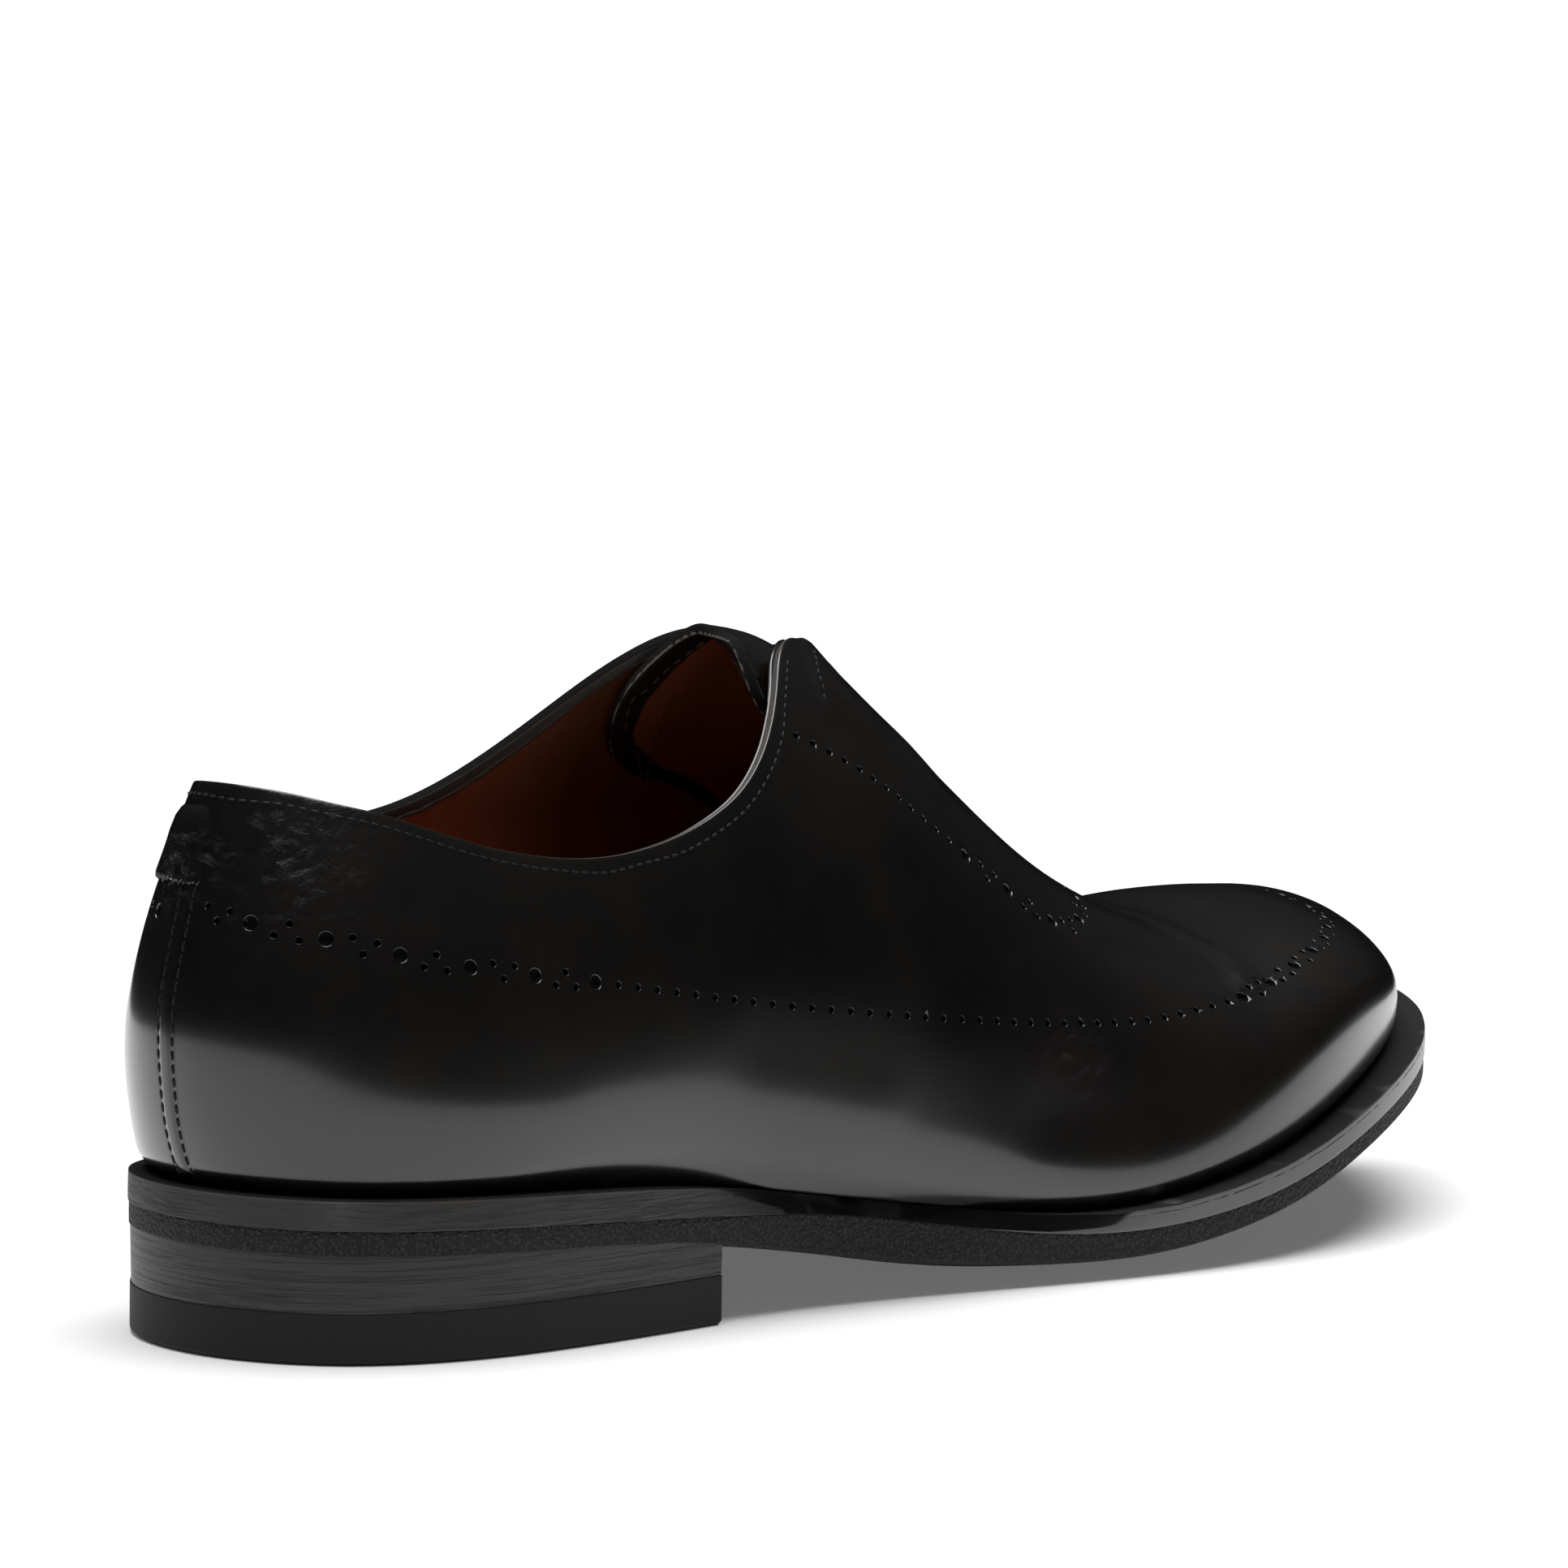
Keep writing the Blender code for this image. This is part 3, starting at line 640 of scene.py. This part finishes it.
beadSet = {"radius": 0.4, "lift": 0.1, "start": 48, "end": 1, "step": 1.2}
beadLine = [p + Vector((0, 0, beadSet["lift"] * mm))
            for p in smoothLine(rimInner, beadSet["step"] * mm, True)
            if own(p).y < beadSet["end"] and own(p).x > beadSet["start"]]
bead = tube("topline_bead", beadLine, beadSet["radius"], False)
place(bead, calf)
print("lining and bead")

# tongue: calf above, brown below with a black border and a pale cut edge

tongueSet = {"band": 4.5, "sideBand": 2.2, "bandEnds": (108, 118), "edgeRound": 0.35, "easing": 8,
             "lowest": 60, "step": 1.5}
tongue = copyNode("tongue", "tongue_piece")
splitWalls(tongue, outerPoint=at(128, 0, 110), innerPoint=at(128, 0, 90), materials=[calf, lining, rawEdge])
tongueLoop = edgeLoop(tongue, 1, tongueSet["lowest"])
bevelEdges(tongue, tongueSet["edgeRound"], segments=2, angle=50)
refine(tongue, levels=2)
applyModifier(tongue, "SMOOTH", factor=0.5, iterations=tongueSet["easing"])
border = smoothLine(tongueLoop, tongueSet["step"] * mm)


def bandWidth(point):  # wide round the end, narrow along the sides
    side = between(*tongueSet["bandEnds"], own(point).x)
    return tongueSet["band"] + (tongueSet["sideBand"] - tongueSet["band"]) * side


band = tongue.data.attributes.new("fromEdge", "FLOAT", "POINT")
for i, vertex in enumerate(tongue.data.vertices):
    band.data[i].value = min((vertex.co - p).length / bandWidth(p) for p in border) / mm
underside, tree, shader = newMaterial("mahogany lining with black border", {
    "Roughness": 0.5, "Specular IOR Level": 0.3})
fromEdge = addNode(tree, "ShaderNodeAttribute", {"attribute_name": "fromEdge"})
inBand = addNode(tree, "ShaderNodeMapRange", {"From Min": 0.95, "From Max": 1.05},
                 {"Value": fromEdge.outputs["Fac"]})
twoTone(tree, shader, "120B08", "6A361C", inBand.outputs["Result"])
tongue.data.materials[1] = underside

# cut end of the tongue: dyed black, its lower corner left pale and fuzzy
cutEnd, tree, shader = newMaterial("dyed cut edge", {"Roughness": 0.8, "Specular IOR Level": 0.25})
fibres = fineGrain(tree, shader, fibreSet["cutEnd"], strength=1, depth=0.4, detail=4, roughness=0.8)[0]
fromEdge = addNode(tree, "ShaderNodeAttribute", {"attribute_name": "fromEdge"})
ragged = addNode(tree, "ShaderNodeMath", {"operation": "MULTIPLY_ADD", 1: 0.1},
                 {0: fibres.outputs["Fac"], 2: fromEdge.outputs["Fac"]})
pale = addNode(tree, "ShaderNodeMapRange", {"From Min": 0.21, "From Max": 0.16}, {"Value": ragged.outputs[0]})
twoTone(tree, shader, "070707", "6A625A", pale.outputs["Result"])
tongue.data.materials[2] = cutEnd
place(tongue, None, "tongue")
print("tongue", len(tongueLoop))

# sole: layers cemented face to face, so each copy is grown into the CAD's small gaps

soleSet = {  # slot, material, edge round, growth up and down in millimetres
    "outsole": ("crumb_rubber", crumb, 0.1, 0.16, 0.0),
    "heel_stack": ("stack_leather", stackLeather, 0.06, 0.95, 0.16),
    "top_lift": ("lift_rubber", liftRubber, 0.12, 0.16, 0.0),
    "insole": ("insole_leather", insoleCover, 0.5, 0.0, 0.0)}


def layer(node, edgeRound, up, down):
    piece = copyNode(node, node + "_piece")
    corners, faces = piece.data.vertices, piece.data.polygons
    tops = [v.normal.z > 0 for v in corners]
    for vertex, top in zip(corners, tops):
        vertex.co.z += up * mm if top else -down * mm
    caps = []  # the flat top and the flat foot
    for side in (1, -1):
        flat = [list(p.vertices) for p in faces if p.normal.z * side > 0.6]
        caps.append(BVHTree.FromPolygons([v.co for v in corners], flat))
    bevelEdges(piece, edgeRound, segments=2, angle=40)
    refine(piece, levels=2)
    return piece, caps


for node, (slot, material, edgeRound, up, down) in soleSet.items():
    piece = layer(node, edgeRound, up, down)[0]
    place(piece, material, node)
    if node == "insole":  # covered in brown on its top only
        piece.data.materials.append(holeWall)
        for polygon in piece.data.polygons:
            polygon.material_index = int(polygon.normal.z < 0.5)

# welt: one leather plate finished three ways, so its shader reads how far down the edge a place is

weltSet = {"edgeRound": 0.22, "down": 0.16, "heelEnd": 80, "heelSlant": -20, "bandStart": 166, "bandLean": 6,
           "bandTip": 30, "groove": 0.24, "paler": (220, 285), "grainLength": 9.09, "grain": 0.357,
           "chips": 2.857}
welt, (weltTop, weltFoot) = layer("welt", weltSet["edgeRound"], 0, weltSet["down"])
drop = welt.data.attributes.new("drop", "FLOAT", "POINT")
for i, vertex in enumerate(welt.data.vertices):
    above, below = weltTop.find_nearest(vertex.co)[3], weltFoot.find_nearest(vertex.co)[3]
    drop.data[i].value = above / max(above + below, 1e-9)

# sole leather edge: wood-like grain round the heel, a black burnished waist, a waxed grey band round the toe
edgeFinish, tree, shader = newMaterial("sole leather edge", {})
coords = addNode(tree, "ShaderNodeTexCoord")
place3d = addNode(tree, "ShaderNodeMapping", {"Scale": (1000, 1000, 1000), "Location": tuple(-heelBack)},
                  {"Vector": coords.outputs["Object"]})  # millimetres from the heel's back
axes = addNode(tree, "ShaderNodeSeparateXYZ", None, {0: place3d.outputs["Vector"]})
dropNode = addNode(tree, "ShaderNodeAttribute", {"attribute_name": "drop"})
heelReach = addNode(tree, "ShaderNodeMath", {"operation": "MULTIPLY_ADD", 1: weltSet["heelSlant"]},
                    {0: dropNode.outputs["Fac"], 2: axes.outputs["X"]})
heelReach = addNode(tree, "ShaderNodeMath", {"operation": "SUBTRACT", 1: weltSet["heelEnd"]},
                    {0: heelReach.outputs[0]})
inHeel = addNode(tree, "ShaderNodeMapRange", {"From Min": 0.8, "From Max": -0.8},
                 {"Value": heelReach.outputs[0]})
tip = addNode(tree, "ShaderNodeMath", {"operation": "POWER", 1: 6}, {0: dropNode.outputs["Fac"]})
tip = addNode(tree, "ShaderNodeMath", {
    "operation": "MULTIPLY_ADD", 1: weltSet["bandTip"], 2: -weltSet["bandStart"]}, {0: tip.outputs[0]})
tip = addNode(tree, "ShaderNodeMath", {"operation": "ADD"}, {0: tip.outputs[0], 1: axes.outputs["X"]})
lean = addNode(tree, "ShaderNodeMath", {"operation": "MULTIPLY_ADD", 1: weltSet["bandLean"]},
               {0: dropNode.outputs["Fac"], 2: tip.outputs[0]})
inBand = addNode(tree, "ShaderNodeMapRange", {"From Min": -0.8, "From Max": 0.8}, {"Value": lean.outputs[0]})
onLedge = addNode(tree, "ShaderNodeMapRange", {"From Min": 0.06, "From Max": 0.02},
                  {"Value": dropNode.outputs["Fac"]})
stretch = addNode(tree, "ShaderNodeMapping", {
    "Scale": (1 / weltSet["grainLength"], 1 / weltSet["grainLength"], 1 / weltSet["grain"])},
    {"Vector": place3d.outputs["Vector"]})
grain = addNode(tree, "ShaderNodeTexNoise", {"Scale": 1, "Detail": 6, "Roughness": 0.75, "Distortion": 0.6},
                {"Vector": stretch.outputs["Vector"]})
cracks = addNode(tree, "ShaderNodeMapRange", {"From Min": 0.38, "From Max": 0.5},
                 {"Value": grain.outputs["Fac"]})
grooveAway = addNode(tree, "ShaderNodeMath", {"operation": "SUBTRACT", 1: weltSet["groove"]},
                     {0: dropNode.outputs["Fac"]})
grooveAway = addNode(tree, "ShaderNodeMath", {"operation": "ABSOLUTE"}, {0: grooveAway.outputs[0]})
groove = addNode(tree, "ShaderNodeMapRange", {"From Min": 0.05, "From Max": 0.0},
                 {"Value": grooveAway.outputs[0]})
broken = addNode(tree, "ShaderNodeTexNoise", {"Scale": 1 / weltSet["chips"], "Detail": 3},
                 {"Vector": place3d.outputs["Vector"]})
broken = addNode(tree, "ShaderNodeMapRange", {"From Min": 0.42, "From Max": 0.58},
                 {"Value": broken.outputs["Fac"]})
groove = addNode(tree, "ShaderNodeMath", {"operation": "MULTIPLY"},
                 {0: groove.outputs["Result"], 1: broken.outputs["Result"]})
heelTint = addNode(tree, "ShaderNodeMix", {"data_type": "RGBA", 6: linear("080707"), 7: linear("262423")},
                   {"Factor": cracks.outputs["Result"]})
# the grey band turns paler towards the toe tip: a painted reflection of the floor at the grazing toe
paintedToeSheen = addNode(tree, "ShaderNodeMapRange", {
    "From Min": weltSet["paler"][0], "From Max": weltSet["paler"][1]}, {"Value": axes.outputs["X"]})
bandTint = addNode(tree, "ShaderNodeMix", {"data_type": "RGBA", 6: linear("5E5E60"), 7: linear("969698")},
                   {"Factor": paintedToeSheen.outputs["Result"]})
bandTint = addNode(tree, "ShaderNodeMix", {"data_type": "RGBA", 7: linear("0C0C0C")},
                   {"Factor": groove.outputs[0], 6: bandTint.outputs[2]})
tint = addNode(tree, "ShaderNodeMix", {"data_type": "RGBA", 6: linear("060606")},
               {"Factor": inHeel.outputs["Result"], 7: heelTint.outputs[2]})
arrisHighlight = addNode(tree, "ShaderNodeMath", {"operation": "COMPARE", 1: 0.075, 2: 0.03},
                {0: dropNode.outputs["Fac"]})
arrisHighlight = addNode(tree, "ShaderNodeMath", {"operation": "MULTIPLY"},
                {0: arrisHighlight.outputs[0], 1: inHeel.outputs["Result"]})
tint = addNode(tree, "ShaderNodeMix", {"data_type": "RGBA", 7: linear("3E332C")},
               {"Factor": arrisHighlight.outputs[0], 6: tint.outputs[2]})  # a brown painted highlight along the upper corner
tint = addNode(tree, "ShaderNodeMix", {"data_type": "RGBA"},
               {"Factor": inBand.outputs["Result"], 6: tint.outputs[2], 7: bandTint.outputs[2]})
tint = addNode(tree, "ShaderNodeMix", {"data_type": "RGBA", 7: linear("040404")},
               {"Factor": onLedge.outputs["Result"], 6: tint.outputs[2]})
tree.links.new(tint.outputs[2], shader.inputs["Base Color"])
matt = addNode(tree, "ShaderNodeMix", {2: 0.3, 3: 0.5}, {"Factor": inHeel.outputs["Result"]})
matt = addNode(tree, "ShaderNodeMix", {3: 0.9}, {"Factor": onLedge.outputs["Result"], 2: matt.outputs[0]})
tree.links.new(matt.outputs[0], shader.inputs["Roughness"])
depth = addNode(tree, "ShaderNodeMath", {"operation": "MULTIPLY"},
                {0: cracks.outputs["Result"], 1: inHeel.outputs["Result"]})
dent = addNode(tree, "ShaderNodeMath", {"operation": "MULTIPLY"},
               {0: groove.outputs[0], 1: inBand.outputs["Result"]})
depth = addNode(tree, "ShaderNodeMath", {"operation": "SUBTRACT"}, {0: depth.outputs[0], 1: dent.outputs[0]})
bump = addNode(tree, "ShaderNodeBump", {"Strength": 0.7, "Distance": 0.3 * mm}, {"Height": depth.outputs[0]})
tree.links.new(bump.outputs["Normal"], shader.inputs["Normal"])
place(welt, edgeFinish, "welt")
print("sole")

# stitches: one small pill of thread, copied along each row

bpy.ops.mesh.primitive_uv_sphere_add(segments=8, ring_count=6, radius=1)
pill = bpy.context.object
bpy.ops.object.shade_smooth()
pill.rotation_euler = (0, math.radians(90), 0)
bpy.ops.object.transform_apply(rotation=True)


def sew(name, line, wall, size, material):  # size is the length, width and thickness of a stitch
    matrices = []
    scale = Matrix.Diagonal((size[0] * mm / 2, size[1] * mm / 2, size[2] * mm / 2, 1))
    lift = 0.1 * size[2] * mm  # nearly half of it is drawn into the leather
    for i, point in enumerate(line):
        spot, normal = wall.find_nearest(point)[:2]
        along = line[min(i + 1, len(line) - 1)] - line[max(i - 1, 0)]
        along = (along - normal * along.dot(normal)).normalized()
        turn = Matrix((along, normal.cross(along), normal)).transposed().to_4x4()
        matrices.append(Matrix.Translation(spot + normal * lift) @ turn @ scale)
    only(pill)
    place(copies(name, pill, matrices), material)


toplineSet = {"down": 2.6, "pitch": 1.9, "stitch": (1.35, 0.42, 0.36), "peak": 116, "step": 1.0,
              "every": 8}  # few points keep the row smooth
topRow = smoothLine(rimOuter, toplineSet["step"] * mm, True)
topRow = downWall(topRow, skin, toplineSet["down"], True)
notch = [i for i, p in enumerate(topRow) if own(p).x > toplineSet["peak"]]
topRow = topRow[notch[-1] + 1:] + topRow[:notch[0]]  # from the far peak round the heel to the near one
topRow = smoothLine(topRow[::toplineSet["every"]], toplineSet["pitch"] * mm)
sew("topline_stitches", topRow, skin, toplineSet["stitch"], thread)

# back seam: a low rib between two sewn rows

seamSet = {"line": [(1, 2.3, 71.5), (0, 2.5, 66), (-1, 2.7, 60), (-2, 2.7, 50), (-1.5, 2.6, 42), (0, 2.8, 34),
                    (1.7, 2.4, 27.5)],
           "half": 1.75, "pitch": 2.1, "stitch": (1.6, 0.55, 0.5), "step": 1.0, "every": 3,
           "profile": [(-3.0, -0.3), (-2.4, 0.08), (-1.75, -0.1), (-1.2, 0.22), (-0.5, 0.3), (0.5, 0.3),
                       (1.2, 0.22), (1.75, -0.1), (2.4, 0.08), (3.0, -0.3)]}  # sideways and out
seamLine = smoothLine([at(*p) for p in seamSet["line"]], seamSet["step"] * mm)


def acrossLine(line, wall):  # place, surface normal and sideways way at each point
    out = []
    for i, point in enumerate(line):
        along = line[min(i + 1, len(line) - 1)] - line[max(i - 1, 0)]
        spot, normal = wall.find_nearest(point)[:2]
        out.append((spot, normal, normal.cross(along).normalized()))
    return out


def strip(count, wide):  # quads of a grid of count rows, wide corners each
    starts = [i * wide + k for i in range(count - 1) for k in range(wide - 1)]
    return [(a, a + 1, a + wide + 1, a + wide) for a in starts]


ribVerts = []
for spot, normal, aside in acrossLine(seamLine, skin):
    for offset, height in seamSet["profile"]:
        base, up = skin.find_nearest(spot + aside * offset * mm)[:2]
        ribVerts.append(base + up * height * mm)
rib = meshPiece("back_seam", ribVerts, strip(len(seamLine), len(seamSet["profile"])))
place(rib, calf)
for side, name in ((-1, "back_stitches_right"), (1, "back_stitches_left")):
    row = [spot + aside * side * seamSet["half"] * mm for spot, normal, aside in acrossLine(seamLine, skin)]
    row = smoothLine(row[::seamSet["every"]], seamSet["pitch"] * mm)
    sew(name, row, skin, seamSet["stitch"], thread)

# heel tab: the near quarter carried over the top of the back seam, its cut end ragged

tabSet = {"axis": (25, 0), "foot": 72.3, "topGap": 3, "proud": 0.9, "fade": (-5, 6), "farEdge": (47, 76),
          "angles": (-16, 79), "columns": 158, "ragged": 1.1, "tear": 0.9, "sunk": 0.3, "climb": 0.25,
          "rows": [(0, -0.35), (0.006, 0.55), (0.02, 0.92), (0.06, 1), (0.3, 1), (0.6, 1), (0.8, 0.85),
                   (0.92, 0.4), (1, -0.35)]}  # share of the height and of the thickness
tabVerts, wide = [], len(tabSet["rows"])
for i in range(tabSet["columns"] + 1):
    first, last = tabSet["angles"]
    angle = first + (last - first) * i / tabSet["columns"]
    way = Vector((-math.cos(math.radians(angle)), math.sin(math.radians(angle)), 0))
    head = tabSet["foot"]
    while skin.ray_cast(at(*tabSet["axis"], head + tabSet["climb"]), way)[0]:  # up to the topline
        head += tabSet["climb"]
    head -= tabSet["topGap"]
    end = tabSet["foot"] + tabSet["ragged"] * noise.noise(Vector((angle * tabSet["tear"], 3, 7)))
    shown = between(*tabSet["fade"], angle) * (1 - between(*tabSet["farEdge"], angle))
    for share, lift in tabSet["rows"]:
        spot, normal = skin.ray_cast(at(*tabSet["axis"], end + (head - end) * share), way)[:2]
        tabVerts.append(spot + normal * (tabSet["proud"] * lift * shown - tabSet["sunk"] * (1 - shown)) * mm)
tab = meshPiece("heel_tab", tabVerts, strip(tabSet["columns"] + 1, wide))
tab.data.materials.append(calf)
tab.data.materials.append(holeWall)
for polygon in tab.data.polygons:
    polygon.material_index = int(polygon.index % (wide - 1) < 1)  # the torn end
only(tab)
bpy.ops.object.shade_smooth_by_angle(angle=math.radians(35))
place(tab, None)

# tongue border row in brown thread, instep row in black

rowSet = {"borderEnd": 109, "borderGap": 0.6, "borderPitch": 2.4, "borderStitch": (1.7, 0.5, 0.4),
          "borderEvery": 3, "instep": [(123.2, -12, 103.3), (120.4, -16.1, 100.8), (118.7, -19.7, 96.9)],
          "instepPitch": 2.0, "instepStitch": (1.5, 0.45, 0.4)}
under = wallTree(tongue, 1)
bandRow = downWall([p for p in border if own(p).x < rowSet["borderEnd"]], under,
                   tongueSet["band"] + rowSet["borderGap"], False)
bandRow = smoothLine(bandRow[::rowSet["borderEvery"]], rowSet["borderPitch"] * mm)
sew("tongue_stitches", bandRow, under, rowSet["borderStitch"], brownThread)
instepRow = smoothLine([at(*p) for p in rowSet["instep"]], rowSet["instepPitch"] * mm)
sew("instep_stitches", instepRow, skin, rowSet["instepStitch"], thread)
bpy.data.objects.remove(pill)
print("stitches")

# perforations: blind punched holes, round-edged, along the side, round the toe and down the facing

holeSet = {"big": 1.12, "small": 0.56, "pitch": 12, "rowPitch": 4.1, "toePitch": 9.2, "facingPitch": 3.5,
           "lowPitch": 11.2, "spread": 2.1, "closeSpread": 1.8, "rise": 1.1, "mouth": 0.25, "apart": 2.2,
           "step": 0.5, "bendStart": 205, "bend": 0.19}
sideLine = [(3.3, -11, 67.4), (10.5, -20.8, 65.3), (19.7, -27.1, 62.9), (30.6, -30.9, 60.6),
            (42.4, -33.2, 58.6), (55.1, -34.2, 56.6)]
rowLine = [(59.2, -34.4, 55.9), (76, -35, 53), (92, -36, 50.4), (107, -37.3, 48.3), (130, -38.7, 45.5),
           (152, -39.8, 43.5), (175, -39.4, 42.5), (198, -36.6, 42.9)]
toeLine = [(202, -36, 43), (210, -34.2, 44.2), (219, -31.8, 46), (228, -28.4, 48), (238, -22.6, 49.5),
           (247, -14.5, 50.5), (254, -5, 51.5), (258, 8.5, 52)]
facingLine = [(109, -23, 91.6), (119, -26, 86.8), (131, -26.7, 80), (141, -27.3, 73.3)]
lowLine = [(144.5, -28, 70.7), (150, -28.8, 67), (160, -29.9, 61.2), (167, -29.6, 58.3), (173, -26.5, 58.3),
           (179, -20, 59.8), (184, -11, 62), (186, 0, 63)]
seamHoles = [(1, -2.9, 69.6), (0.9, -5.3, 67.5), (2, -7.4, 69)]  # beside the back seam
holes = []  # place and radius


def mirrored(point):  # the same place on the other side of the last's own middle line
    middle = max(point[0] - holeSet["bendStart"], 0) * holeSet["bend"]
    return (point[0], 2 * middle - point[1], point[2])


def triplets(line, pitch, spread, flip):  # a big hole, then three small ones in a zigzag
    steps = acrossLine(smoothLine(line, holeSet["step"] * mm), skin)
    count = round((len(steps) - 1) * holeSet["step"] / pitch)
    for k in range(count + 1):
        for shift, high in ((0, None), (pitch / 2 - spread, -1), (pitch / 2, 1), (pitch / 2 + spread, -1)):
            i = round((k * pitch + shift) / holeSet["step"])
            if i < len(steps):
                spot, normal, aside = steps[i]
                if high is None:
                    holes.append((spot, holeSet["big"]))
                else:
                    turn = high if (k + flip) % 2 else -high
                    holes.append((spot + aside * turn * holeSet["rise"] * mm, holeSet["small"]))


def single(line, pitch):  # a plain row of small holes
    holes.extend((p, holeSet["small"]) for p in smoothLine(line, pitch * mm))


for pick in (tuple, mirrored):
    triplets([at(*pick(p)) for p in sideLine], holeSet["pitch"], holeSet["spread"], flip=1)
    single([at(*pick(p)) for p in rowLine], holeSet["rowPitch"])
    triplets([at(*pick(p)) for p in toeLine], holeSet["toePitch"], holeSet["closeSpread"], flip=0)
    single([at(*pick(p)) for p in facingLine], holeSet["facingPitch"])
    triplets([at(*pick(p)) for p in lowLine], holeSet["lowPitch"], holeSet["closeSpread"], flip=0)
holes += [(at(*p), holeSet["small"]) for p in seamHoles]

punchSet = {"sides": 14, "taper": 0.85, "height": 0.55, "middle": -0.575,  # radii across, millimetres deep
            "lip": ((0.18, 1.03), (0.17, 1.22), (0.6, 1.3))}  # up and wider, for a rounded mouth
bpy.ops.mesh.primitive_cone_add(vertices=punchSet["sides"], radius1=punchSet["taper"], radius2=1.0,
                                depth=punchSet["height"], location=(0, 0, punchSet["middle"]))
punch = bpy.context.object
bpy.ops.object.transform_apply(location=True)
bpy.ops.object.mode_set(mode="EDIT")
bpy.ops.mesh.select_mode(type="FACE")
bpy.ops.mesh.select_all(action="DESELECT")
bpy.ops.object.mode_set(mode="OBJECT")
max(punch.data.polygons, key=lambda p: p.center.z).select = True
bpy.ops.object.mode_set(mode="EDIT")
for up, grow in punchSet["lip"]:
    bpy.ops.mesh.extrude_region_move(TRANSFORM_OT_translate={"value": (0, 0, up)})
    bpy.ops.transform.resize(value=(grow, grow, 1))
bpy.ops.object.mode_set(mode="OBJECT")
matrices, taken = [], []
for point, radius in holes:
    spot, normal = skin.find_nearest(point)[:2]
    if all((spot - other).length > holeSet["apart"] * mm for other in taken):
        taken.append(spot)
        turn = normal.to_track_quat("Z", "Y").to_matrix().to_4x4()
        size = Matrix.Diagonal((radius * mm, radius * mm, mm, 1))
        matrices.append(Matrix.Translation(spot) @ turn @ size)
only(punch)
punches = copies("punches", punch, matrices)
smooth = upper.data.copy()  # normals of the uncut skin
applyModifier(upper, "BOOLEAN", object=punches, operation="DIFFERENCE", solver="MANIFOLD")
uncut = BVHTree.FromPolygons([v.co for v in smooth.vertices], [list(p.vertices) for p in smooth.polygons])
normals, depths = [], []
for vertex in upper.data.vertices:
    spot, normal, index, away = uncut.find_nearest(vertex.co)
    depths.append(away)
    if away < 0.005 * mm:  # still on the skin
        corners = [smooth.vertices[i] for i in smooth.polygons[index].vertices]
        weighted = [c.normal / max((c.co - spot).length, 1e-7) for c in corners]
        normal = sum(weighted, Vector()).normalized()
    else:
        normal = vertex.normal.copy()
    normals.append(normal)
for polygon in upper.data.polygons:
    if min(depths[i] for i in polygon.vertices) > holeSet["mouth"] * mm:
        polygon.material_index = 3
upper.data.normals_split_custom_set_from_vertices(normals)
for extra in (punches, punch):
    bpy.data.objects.remove(extra)
print("holes", len(matrices), "upper", len(upper.data.polygons))
